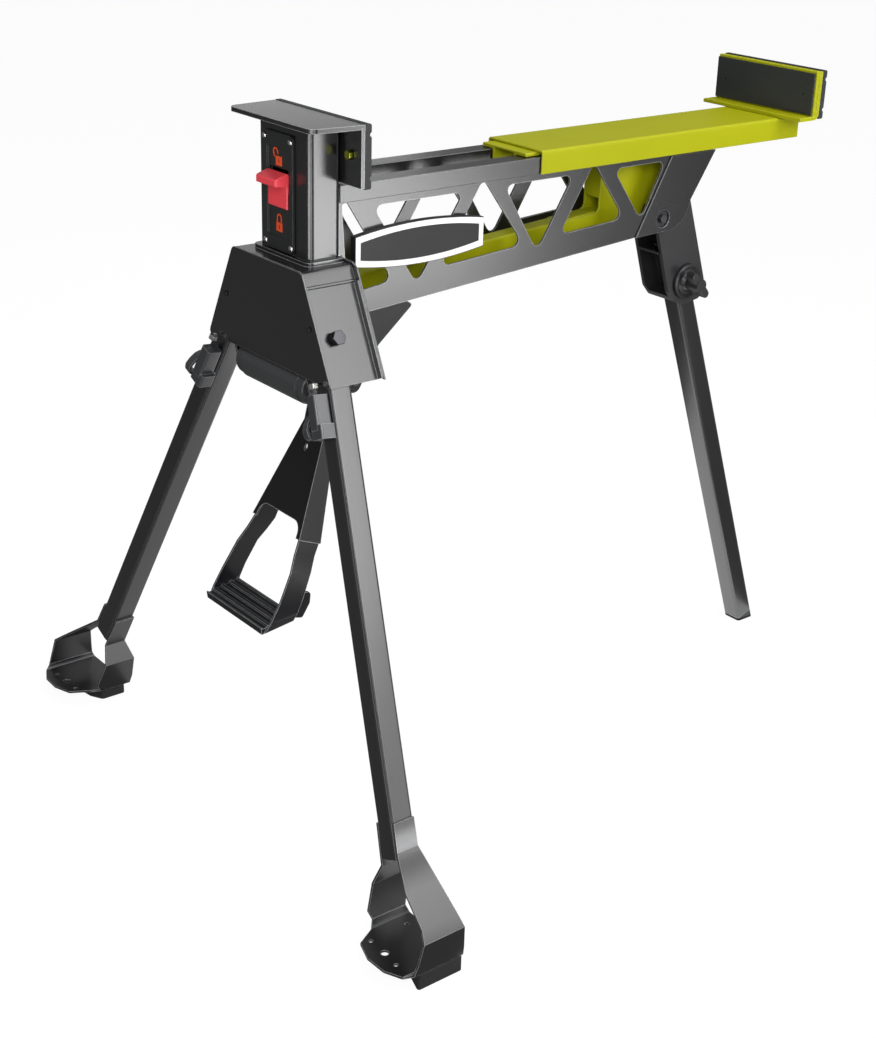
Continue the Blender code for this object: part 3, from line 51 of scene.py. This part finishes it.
# Camera, as solved from the photograph
photo_width = 876
photo_height = 1038
focal_pixels = 1722.4
middle_u = 438.7
azimuth = math.radians(-38.8)
elevation = math.radians(23.5)
roll = math.radians(-1.7)
camera_place = at(-1058.8, -1612.4, 1218.3)
sensor_high = 36.0
sight_end = 60.0
ahead = Vector(
    (-math.sin(azimuth) * math.cos(elevation), math.cos(azimuth) * math.cos(elevation), -math.sin(elevation))
)
right = ahead.cross(Vector((0, 0, 1))).normalized()
down = ahead.cross(right).normalized()
view_x = right * math.cos(roll) + down * math.sin(roll)
view_y = down * math.cos(roll) - right * math.sin(roll)
camera_data = bpy.data.cameras.new("view_camera")
camera_data.sensor_fit = "VERTICAL"
camera_data.sensor_height = sensor_high
camera_data.lens = focal_pixels / photo_height * sensor_high
camera_data.clip_end = sight_end
camera_data.shift_x = (photo_width / 2 - middle_u) / photo_height
camera = bpy.data.objects.new("view_camera", camera_data)
bpy.context.scene.collection.objects.link(camera)
pose = Matrix.Identity(4)
for i in range(3):
    pose[i][0] = view_x[i]
    pose[i][1] = -view_y[i]
    pose[i][2] = -ahead[i]
    pose[i][3] = camera_place[i]
camera.matrix_world = pose
bpy.context.scene.camera = camera
bpy.context.scene.view_settings.view_transform = "Standard"


# Materials
def srgb(value):
    """A colour as the eye reads it, 0 to 255, as the linear value that a shader takes."""
    v = value / 255.0
    return v / 12.92 if v <= 0.04045 else ((v + 0.055) / 1.055) ** 2.4


def tone(r, g, b):
    """A shader colour from red, green and blue as the eye reads them."""
    return (srgb(r), srgb(g), srgb(b), 1.0)


def node_material(name):
    """A new material with its node tree, its shader and the coordinates of the piece."""
    mat = bpy.data.materials.new(name)
    mat.use_nodes = True
    tree = mat.node_tree
    shader = tree.nodes["Principled BSDF"]
    coords = tree.nodes.new("ShaderNodeTexCoord")
    return mat, tree, shader, coords


def noise(tree, coords, scale, detail=3.0, rough=0.55):
    tex = tree.nodes.new("ShaderNodeTexNoise")
    tex.inputs["Scale"].default_value = scale
    tex.inputs["Detail"].default_value = detail
    tex.inputs["Roughness"].default_value = rough
    tree.links.new(coords.outputs["Object"], tex.inputs["Vector"])
    return tex


def mixed(tree, factor, a, b):
    mix = tree.nodes.new("ShaderNodeMix")
    mix.data_type = "RGBA"
    mix.inputs["A"].default_value = a
    mix.inputs["B"].default_value = b
    tree.links.new(factor, mix.inputs["Factor"])
    return mix.outputs["Result"]


def ranged(tree, source, low, high, from_low=0.3, from_high=0.7):
    node = tree.nodes.new("ShaderNodeMapRange")
    node.inputs["From Min"].default_value = from_low
    node.inputs["From Max"].default_value = from_high
    node.inputs["To Min"].default_value = low
    node.inputs["To Max"].default_value = high
    tree.links.new(source, node.inputs["Value"])
    return node.outputs["Result"]


def bumped(tree, shader, height, strength, distance):
    bump = tree.nodes.new("ShaderNodeBump")
    bump.inputs["Strength"].default_value = strength
    bump.inputs["Distance"].default_value = distance
    tree.links.new(height, bump.inputs["Height"])
    tree.links.new(bump.outputs["Normal"], shader.inputs["Normal"])


# How wide the painted edge highlight is, and the cosines of the turn at which the highlight is full and at
# which it ends
edge_highlight_wide = 1.3
edge_highlight_samples = 6
edge_highlight_full = 0.86
edge_highlight_end = 0.995


def edge_highlight_mask(tree):
    """From 0 on flat ground to 1 along an edge: the mask of a painted highlight along the edges."""
    bevel = tree.nodes.new("ShaderNodeBevel")
    bevel.samples = edge_highlight_samples
    bevel.inputs["Radius"].default_value = edge_highlight_wide * MM
    flat = tree.nodes.new("ShaderNodeNewGeometry")
    facing = tree.nodes.new("ShaderNodeVectorMath")
    facing.operation = "DOT_PRODUCT"
    tree.links.new(bevel.outputs["Normal"], facing.inputs[0])
    tree.links.new(flat.outputs["True Normal"], facing.inputs[1])
    return ranged(tree, facing.outputs["Value"], 1.0, 0.0, edge_highlight_full, edge_highlight_end)


# Scales of the slow changes of tone and of gloss, and how much of the grain shows
tone_scale = 9.0
smear_scale = 3.0
grain_share = 0.35


def coated(
    name, dark, light, gloss, grain=900.0, depth=0.00006, specular=0.5, metallic=0.0, edge_highlight=None
):
    """Paint, plastic, rubber or metal: a fine grain over slow changes of tone and of gloss, with a painted
    highlight along the edges where an edge colour is given.
    """
    mat, tree, shader, coords = node_material(name)
    slow = noise(tree, coords, tone_scale)
    smear = noise(tree, coords, smear_scale, 1.0, 0.3)
    fine = noise(tree, coords, grain, 2.0)
    colour = mixed(tree, slow.outputs["Fac"], dark, light)
    # A lighter colour along the edges is a painted highlight, standing in for the light that rounded edges
    # catch
    if edge_highlight:
        highlighted_edge = tree.nodes.new("ShaderNodeMix")
        highlighted_edge.data_type = "RGBA"
        highlighted_edge.inputs["B"].default_value = edge_highlight
        tree.links.new(edge_highlight_mask(tree), highlighted_edge.inputs["Factor"])
        tree.links.new(colour, highlighted_edge.inputs["A"])
        colour = highlighted_edge.outputs["Result"]
    tree.links.new(colour, shader.inputs["Base Color"])
    rough = ranged(tree, smear.outputs["Fac"], gloss[0], gloss[1])
    tree.links.new(rough, shader.inputs["Roughness"])
    shader.inputs["Specular IOR Level"].default_value = specular
    shader.inputs["Metallic"].default_value = metallic
    bumped(tree, shader, fine.outputs["Fac"], grain_share, depth)
    return mat


# Grains per metre of the surfaces, and how deep the grain is, in metres
rough_grain = 500.0
moulded_grain = 1400.0
smooth_grain = 1600.0
metal_grain = 2500.0
rough_depth = 0.0003
smooth_depth = 0.00003
# The lighter edge tones given to the coats below are painted highlights along their edges
black_edge_highlight = tone(178, 180, 182)
black = coated(
    "black_powder_coat", tone(17, 17, 19), tone(24, 24, 27), (0.24, 0.28), specular=1.0,
    edge_highlight=black_edge_highlight,
)
pedal_black = coated(
    "pedal_powder_coat", tone(17, 17, 19), tone(24, 24, 27), (0.3, 0.36), specular=0.3,
    edge_highlight=black_edge_highlight,
)
green = coated(
    "green_powder_coat", tone(160, 162, 8), tone(168, 170, 14), (0.4, 0.5), specular=0.14,
    edge_highlight=tone(204, 206, 104),
)
casting = coated(
    "lock_casting", tone(44, 45, 48), tone(62, 63, 66), (0.3, 0.42), rough_grain, rough_depth,
    specular=0.9, edge_highlight=tone(150, 152, 155),
)
plastic = coated(
    "black_plastic", tone(30, 30, 32), tone(42, 42, 44), (0.3, 0.42), moulded_grain, specular=0.6
)
roller_plastic = coated(
    "roller_plastic", tone(54, 55, 57), tone(66, 67, 69), (0.3, 0.42), moulded_grain, specular=0.6
)
badge_black = coated(
    "badge_black", tone(28, 28, 29), tone(34, 34, 35), (0.34, 0.42), moulded_grain, specular=0.3
)
plate_plastic = coated(
    "switch_plate_plastic", tone(30, 32, 32), tone(40, 43, 42), (0.28, 0.4), moulded_grain
)
red = coated(
    "red_plastic", tone(248, 66, 78), tone(252, 80, 92), (0.2, 0.3), smooth_grain, smooth_depth
)
orange = coated(
    "icon_orange", tone(226, 74, 30), tone(236, 88, 40), (0.45, 0.55), smooth_grain, smooth_depth
)
white = coated(
    "white_print", tone(236, 236, 236), tone(246, 246, 246), (0.35, 0.45), smooth_grain, smooth_depth
)
rubber = coated("rubber", tone(34, 36, 37), tone(46, 49, 50), (0.5, 0.66), 1500.0, 0.00015)
tread_rubber = coated(
    "sole_rubber", tone(40, 40, 41), tone(56, 56, 57), (0.5, 0.66), 900.0, rough_depth
)
zinc = coated(
    "zinc_plate", tone(196, 196, 192), tone(226, 226, 222), (0.22, 0.36), metal_grain, metallic=1.0
)
yellow_zinc = coated(
    "yellow_zinc", tone(150, 156, 40), tone(196, 200, 70), (0.25, 0.4), metal_grain, metallic=1.0
)
steel = coated(
    "dark_steel", tone(62, 62, 64), tone(96, 96, 99), (0.26, 0.4), metal_grain, metallic=1.0
)

node_looks = {
    rubber: ("fixed_jaw_pad", "sliding_jaw_pad_front", "sliding_jaw_pad_rear", "rear_foot_cap"),
    tread_rubber: ("foot_sole_near", "foot_sole_far"),
    green: ("slide_channel", "slide_guide", "jaw_riser", "sliding_jaw_bracket", "drive_bar"),
    steel: (
        "sliding_jaw_screw_near", "sliding_jaw_screw_far", "leg_pivot_bolt_near", "leg_pivot_bolt_far",
        "rear_pivot_bolt_near", "rear_pivot_bolt_far", "front_plate_screw_near", "front_plate_screw_far",
        "pedal_axle",
    ),
    yellow_zinc: ("fixed_jaw_screw_near", "fixed_jaw_screw_far"),
    pedal_black: ("foot_pedal", "pedal_bearer"),
    zinc: (
        "plate_screw_1", "plate_screw_2", "plate_screw_3", "plate_screw_4", "clutch_plate",
        "pedal_spring",
    ),
    plastic: ("rear_leg_bracket", "rear_leg_knob"),
    roller_plastic: ("transport_roller",),
    plate_plastic: ("switch_plate",),
    casting: ("leg_lock_body_near", "leg_lock_body_far", "leg_lock_catch_near", "leg_lock_catch_far"),
    red: ("lock_switch",),
}
look_of = {name: look for look, names in node_looks.items() for name in names}

# Softened edges, so that folded sheet and tube catch the light along them
smooth_below = math.radians(30)
bevel_above = math.radians(32)
flat_within = math.radians(0.5)
weld_within = 0.00001
usual_edge = 0.8
edge_width = {
    "jaw_column": 1.2,
    "head_lid": 1.0,
    "fixed_jaw_plate": 1.6,
    "head_front_plate": 1.4,
    "head_side_panel_near": 1.2,
    "head_side_panel_far": 1.2,
    "front_leg_near": 2.4,
    "front_leg_far": 2.4,
    "rear_leg": 2.4,
    "slide_channel": 1.2,
    "foot_strap_near": 1.4,
    "foot_strap_far": 1.4,
    "foot_pedal": 1.0,
    "leg_lock_body_near": 1.2,
    "leg_lock_body_far": 1.2,
    "rear_leg_bracket": 1.0,
    "pedal_spring": 0.0,
}


def smoothing_group():
    """Shades every face smooth and keeps the edges above the angle sharp."""
    group = bpy.data.node_groups.new("smooth_by_angle", "GeometryNodeTree")
    group.interface.new_socket("Geometry", in_out="INPUT", socket_type="NodeSocketGeometry")
    group.interface.new_socket("Geometry", in_out="OUTPUT", socket_type="NodeSocketGeometry")
    start = group.nodes.new("NodeGroupInput")
    end = group.nodes.new("NodeGroupOutput")
    all_smooth = group.nodes.new("GeometryNodeSetShadeSmooth")
    all_smooth.domain = "FACE"
    all_smooth.inputs["Shade Smooth"].default_value = True
    keep_sharp = group.nodes.new("GeometryNodeSetShadeSmooth")
    keep_sharp.domain = "EDGE"
    keep_sharp.inputs["Shade Smooth"].default_value = False
    angle = group.nodes.new("GeometryNodeInputMeshEdgeAngle")
    above = group.nodes.new("FunctionNodeCompare")
    above.data_type = "FLOAT"
    above.operation = "GREATER_THAN"
    above.inputs["B"].default_value = smooth_below
    group.links.new(angle.outputs["Unsigned Angle"], above.inputs["A"])
    group.links.new(start.outputs["Geometry"], all_smooth.inputs["Geometry"])
    group.links.new(all_smooth.outputs["Geometry"], keep_sharp.inputs["Geometry"])
    group.links.new(above.outputs["Result"], keep_sharp.inputs["Selection"])
    group.links.new(keep_sharp.outputs["Geometry"], end.inputs["Geometry"])
    return group


smooth_by_angle = smoothing_group()


def soften(obj, width):
    """Joins the facets that lie flat, shades round ones smooth and rounds the edges by width."""
    weld = obj.modifiers.new("weld", "WELD")
    weld.merge_threshold = weld_within
    flat = obj.modifiers.new("flat", "DECIMATE")
    flat.decimate_type = "DISSOLVE"
    flat.angle_limit = flat_within
    smooth = obj.modifiers.new("smooth", "NODES")
    smooth.node_group = smooth_by_angle
    if width > 0:
        bevel = obj.modifiers.new("edges", "BEVEL")
        bevel.width = width * MM
        bevel.segments = 3
        bevel.limit_method = "ANGLE"
        bevel.angle_limit = bevel_above
        bevel.use_clamp_overlap = True
        even = obj.modifiers.new("even", "WEIGHTED_NORMAL")
        even.keep_sharp = True


for name, obj in nodes.items():
    obj.data.materials.clear()
    obj.data.materials.append(look_of.get(name, black))
    soften(obj, edge_width.get(name, usual_edge))


# Small pieces
def prism(name, rings, place, across, up, out, thick, look, body, edge):
    """A flat piece with the first ring as its outline and the others as holes, raised along out."""
    work = bmesh.new()
    for ring in rings:
        loop = [work.verts.new((place + across * a * MM + up * b * MM)[:]) for a, b in ring]
        for i in range(len(loop)):
            work.edges.new((loop[i], loop[(i + 1) % len(loop)]))
    filled = bmesh.ops.triangle_fill(work, use_beauty=True, use_dissolve=False, edges=work.edges[:])
    faces = [f for f in filled["geom"] if isinstance(f, bmesh.types.BMFace)]
    raised = bmesh.ops.extrude_face_region(work, geom=faces)
    moved = [v for v in raised["geom"] if isinstance(v, bmesh.types.BMVert)]
    bmesh.ops.translate(work, verts=moved, vec=out * thick * MM)
    bmesh.ops.recalc_face_normals(work, faces=work.faces[:])
    data = bpy.data.meshes.new(name)
    work.to_mesh(data)
    work.free()
    piece = bpy.data.objects.new(name, data)
    bpy.context.scene.collection.objects.link(piece)
    data.materials.append(look)
    soften(piece, edge)
    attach(piece, body)
    return piece


def arc(centre_a, centre_b, radius, start, end, steps):
    """Points on a circle from one angle to another, in degrees."""
    ring = []
    for i in range(steps + 1):
        turn = math.radians(start + (end - start) * i / steps)
        ring.append((centre_a + radius * math.cos(turn), centre_b + radius * math.sin(turn)))
    return ring


def circle(centre_a, centre_b, radius, points=24):
    """A closed ring of points, round with the usual number and a polygon with few."""
    return arc(centre_a, centre_b, radius, 0, 360 - 360 / points, points - 1)


X = Vector((1, 0, 0))
Y = Vector((0, 1, 0))
Z = Vector((0, 0, 1))

# Badge: a bare raised plate with a printed white border
badge_x0 = 59.8
badge_x1 = 249.2
badge_low = 694.6
badge_high = 730.2
badge_rise = 8.0
badge_back_y = -46.3
badge_thick = 9.0
border_inset = 0.9
border_wide = 6.6
border_thick = 0.3
arch_steps = 24


def badge_ring(inset):
    """The badge's outline, bowed at the top and the bottom, drawn in by inset."""
    x0 = badge_x0 + inset
    x1 = badge_x1 - inset
    low = []
    high = []
    for i in range(arch_steps + 1):
        t = i / arch_steps
        bow = badge_rise * (1 - (2 * t - 1) ** 2)
        low.append((x0 + (x1 - x0) * t, badge_low + inset - bow))
        high.append((x1 - (x1 - x0) * t, badge_high - inset + bow))
    return low + high


badge = prism(
    "badge_front", [badge_ring(0.0)], at(0, badge_back_y, 0), X, Z, -Y, badge_thick, badge_black, "frame",
    0.8,
)
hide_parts("badge_plate")
prism(
    "badge_border", [badge_ring(border_inset), badge_ring(border_inset + border_wide)],
    at(0, badge_back_y - badge_thick, 0), X, Z, -Y, border_thick, white, "frame", 0.1,
)

# Padlock signs on the floor of the switch plate's recess: open above, closed below
sign_floor_x = -1.3
sign_thick = 0.35
sign_mid_y = 7.0
closed_sign_z = 732.0
open_sign_z = 807.0
bow_above = 11.0
bow_aside = -4.5
bow_turn = 28.0
lock_half = 6.2
lock_high = 10.5
shackle_out = 5.0
shackle_in = 3.1
shackle_leg = 4.5
shackle_steps = 12
keyhole_half = 0.9
keyhole_low = 3.0
keyhole_high = 7.5


def lock_body(base_z):
    """The padlock's block with its keyhole."""
    outline = [(-lock_half, 0.0), (lock_half, 0.0), (lock_half, lock_high), (-lock_half, lock_high)]
    hole = [(-keyhole_half, keyhole_low), (keyhole_half, keyhole_low), (keyhole_half, keyhole_high),
            (-keyhole_half, keyhole_high)]
    return [[(a, base_z + b) for a, b in ring] for ring in (outline, hole)]


def shackle(centre_a, centre_b, turn):
    """The bow of the padlock: a half ring on two legs, turned about the middle of its foot."""
    ring = [(shackle_out, 0.0)]
    ring += arc(0, shackle_leg, shackle_out, 0, 180, shackle_steps)
    ring += [(-shackle_out, 0.0), (-shackle_in, 0.0)]
    ring += arc(0, shackle_leg, shackle_in, 180, 0, shackle_steps)
    ring += [(shackle_in, 0.0)]
    cos = math.cos(math.radians(turn))
    sin = math.sin(math.radians(turn))
    return [[(centre_a + a * cos - b * sin, centre_b + a * sin + b * cos) for a, b in ring]]


sign_place = at(sign_floor_x, sign_mid_y, 0)
for name, rings in (
    ("closed_sign_lock", lock_body(closed_sign_z)),
    ("closed_sign_bow", shackle(0.0, closed_sign_z + bow_above, 0.0)),
    ("open_sign_lock", lock_body(open_sign_z)),
    ("open_sign_bow", shackle(bow_aside, open_sign_z + bow_above, bow_turn)),
):
    # Seen from the front, the plate's own left is +Y
    prism(name, rings, sign_place, -Y, Z, -X, sign_thick, orange, "frame", 0.1)

# Front of the sliding jaw: a thin facing pad on a green backing plate
facing_front_x = 788.1
facing_thick = 2.8
backing_front_x = 791.0
backing_rear_x = 796.7
backing_half = 89.0
backing_low = 803.0
backing_high = 863.4
facing_y0 = -86.6
facing_y1 = 88.0
facing_low = 805.6
facing_high = 860.2
facing_hole = 1.7
facing_hole_y = 71.0
facing_hole_z = 831.0

facing = prism(
    "jaw_facing",
    [
        [(facing_y0, facing_low), (facing_y1, facing_low), (facing_y1, facing_high),
         (facing_y0, facing_high)],
        circle(-facing_hole_y, facing_hole_z, facing_hole),
        circle(facing_hole_y, facing_hole_z, facing_hole),
    ],
    at(facing_front_x + facing_thick, 0, 0), Y, Z, -X, facing_thick, rubber, "sliding_jaw", 0.6,
)
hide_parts("sliding_jaw_pad_front")
prism(
    "jaw_backing",
    [[(-backing_half, backing_low), (backing_half, backing_low), (backing_half, backing_high),
      (-backing_half, backing_high)]],
    at(backing_rear_x, 0, 0), Y, Z, -X, backing_rear_x - backing_front_x, green, "sliding_jaw",
    0.9,
)

# Weld seams that close the joint of the head's lid and side panels
seam_front_x = -22.4
seam_rear_x = 44.0
seam_y = 77.4
seam_z = 687.9
seam_radius = 2.2
for word, side in (("near", -1), ("far", 1)):
    prism(
        "head_seam_" + word, [circle(side * seam_y, seam_z, seam_radius)], at(seam_rear_x, 0, 0),
        Y, Z, -X, seam_rear_x - seam_front_x, black, "frame", 0.0,
    )

# A nut on top of each leg lock
nut_half = 6.0
nut_sides = 6
nut_bore = 2.6
nut_high = 6.0
leg_lean = math.radians(7.1)
leg_splay = math.radians(25.5)
hinge_x = -1.0
hinge_y = 87.0
hinge_z = 626.0
lock_nut_place = Vector((-24.0, 2.0, -52.0))
for word, side in (("near", -1), ("far", 1)):
    leg_turn = Matrix.Rotation(side * leg_splay, 3, "X") @ Matrix.Rotation(leg_lean, 3, "Y")
    spot = leg_turn @ lock_nut_place
    place = at(hinge_x + spot.x, side * hinge_y + spot.y, hinge_z + spot.z)
    upward = leg_turn @ Z
    across = upward.orthogonal().normalized()
    prism(
        "leg_lock_nut_" + word, [circle(0, 0, nut_half, nut_sides), circle(0, 0, nut_bore)], place,
        across, upward.cross(across), upward, nut_high, zinc, word + "_leg", 0.5,
    )


# Floor and surroundings
def ray_kinds(tree, camera_part, glossy_part):
    """What the camera sees of a surface that glows, and what gloss and glass show of it."""
    path = tree.nodes.new("ShaderNodeLightPath")
    seen = tree.nodes.new("ShaderNodeMath")
    seen.operation = "MULTIPLY"
    seen.inputs[1].default_value = camera_part
    tree.links.new(path.outputs["Is Camera Ray"], seen.inputs[0])
    mirrored = tree.nodes.new("ShaderNodeMath")
    mirrored.operation = "MAXIMUM"
    tree.links.new(path.outputs["Is Glossy Ray"], mirrored.inputs[0])
    tree.links.new(path.outputs["Is Transmission Ray"], mirrored.inputs[1])
    total = tree.nodes.new("ShaderNodeMath")
    total.operation = "MULTIPLY_ADD"
    total.inputs[1].default_value = glossy_part
    tree.links.new(mirrored.outputs["Value"], total.inputs[0])
    tree.links.new(seen.outputs["Value"], total.inputs[2])
    return total.outputs["Value"]


floor_reach = 60.0
floor_z = -0.5 * MM
floor_grey = 0.1
floor_seen = 0.94
floor_in_gloss = 0.1
world_seen = 1.0
world_in_gloss = 0.08
world_light = 0.26

floor_data = bpy.data.meshes.new("floor")
corners = ((-1, -1), (1, -1), (1, 1), (-1, 1))
floor_data.from_pydata(
    [(a * floor_reach, b * floor_reach, floor_z) for a, b in corners], [], [(0, 1, 2, 3)]
)
floor = bpy.data.objects.new("floor", floor_data)
bpy.context.scene.collection.objects.link(floor)
floor_mat = bpy.data.materials.new("pale_floor")
floor_mat.use_nodes = True
tree = floor_mat.node_tree
shader = tree.nodes["Principled BSDF"]
shader.inputs["Base Color"].default_value = (floor_grey, floor_grey, floor_grey, 1.0)
shader.inputs["Roughness"].default_value = 0.9
shader.inputs["Specular IOR Level"].default_value = 0.0
shader.inputs["Emission Color"].default_value = (1.0, 1.0, 1.0, 1.0)
tree.links.new(ray_kinds(tree, floor_seen, floor_in_gloss), shader.inputs["Emission Strength"])
floor_data.materials.append(floor_mat)

world = bpy.data.worlds.new("studio")
bpy.context.scene.world = world
world.use_nodes = True
tree = world.node_tree
background = tree.nodes["Background"]
background.inputs["Color"].default_value = (1.0, 1.0, 1.0, 1.0)
base_light = tree.nodes.new("ShaderNodeMath")
base_light.operation = "MAXIMUM"
base_light.inputs[1].default_value = world_light
tree.links.new(ray_kinds(tree, world_seen, world_in_gloss), base_light.inputs[0])
tree.links.new(base_light.outputs["Value"], background.inputs["Strength"])

# Panels of light: name, place, target (straight up without one), width, height, watts and the
# turn about the upright axis in degrees. The cards lie on the floor, where the stand's leaning and
# upright faces mirror them; the boxes hang round it; the last two lift its undersides.
card_z = 0.03
under_z = 0.004
panels = (
    ("right_card", (1.4, -2.61, card_z), None, 0.9, 2.0, 58.0, 38.5),
    ("front_card", (-1.9, -3.0, card_z), None, 1.4, 0.9, 44.0, 0.0),
    ("corner_card", (-3.2, -1.5, card_z), None, 1.3, 2.4, 110.0, 0.0),
    ("side_box", (0.95, -2.4, 1.6), (-0.1, 0.0, 0.55), 1.2, 1.1, 21.0, 0.0),
    ("leg_box", (0.95, -2.6, 0.6), (-0.1, 0.0, 0.4), 1.2, 0.9, 6.5, 0.0),
    ("front_box", (-1.9, -2.6, 2.1), (0.0, 0.0, 0.6), 1.8, 1.4, 55.0, 0.0),
    ("top_box", (0.3, -0.6, 3.0), (0.0, 0.0, 0.5), 2.4, 2.0, 34.0, 0.0),
    ("back_box", (1.25, 2.6, 1.05), (-0.36, 0.0, 0.85), 0.95, 0.8, 2.5, 0.0),
    ("foot_box", (0.6, -1.0, 1.7), (-0.42, -0.39, 0.09), 0.6, 0.6, 3.8, 0.0),
    ("under_card", (0.25, 0.06, under_z), None, 0.55, 0.6, 1.5, 0.0),
    ("head_card", (-0.16, -0.05, under_z), None, 0.5, 0.8, 0.7, 0.0),
)
for name, place, target, width, height, watts, turn in panels:
    data = bpy.data.lights.new(name, "AREA")
    data.shape = "RECTANGLE"
    data.size = width
    data.size_y = height
    data.energy = watts
    lamp = bpy.data.objects.new(name, data)
    lamp.location = place
    aim = Vector(target) - Vector(place) if target else Z
    aimed = aim.to_track_quat("-Z", "Y")
    lamp.rotation_euler = (Quaternion(Z, math.radians(turn)) @ aimed).to_euler()
    lamp.visible_camera = False
    bpy.context.scene.collection.objects.link(lamp)
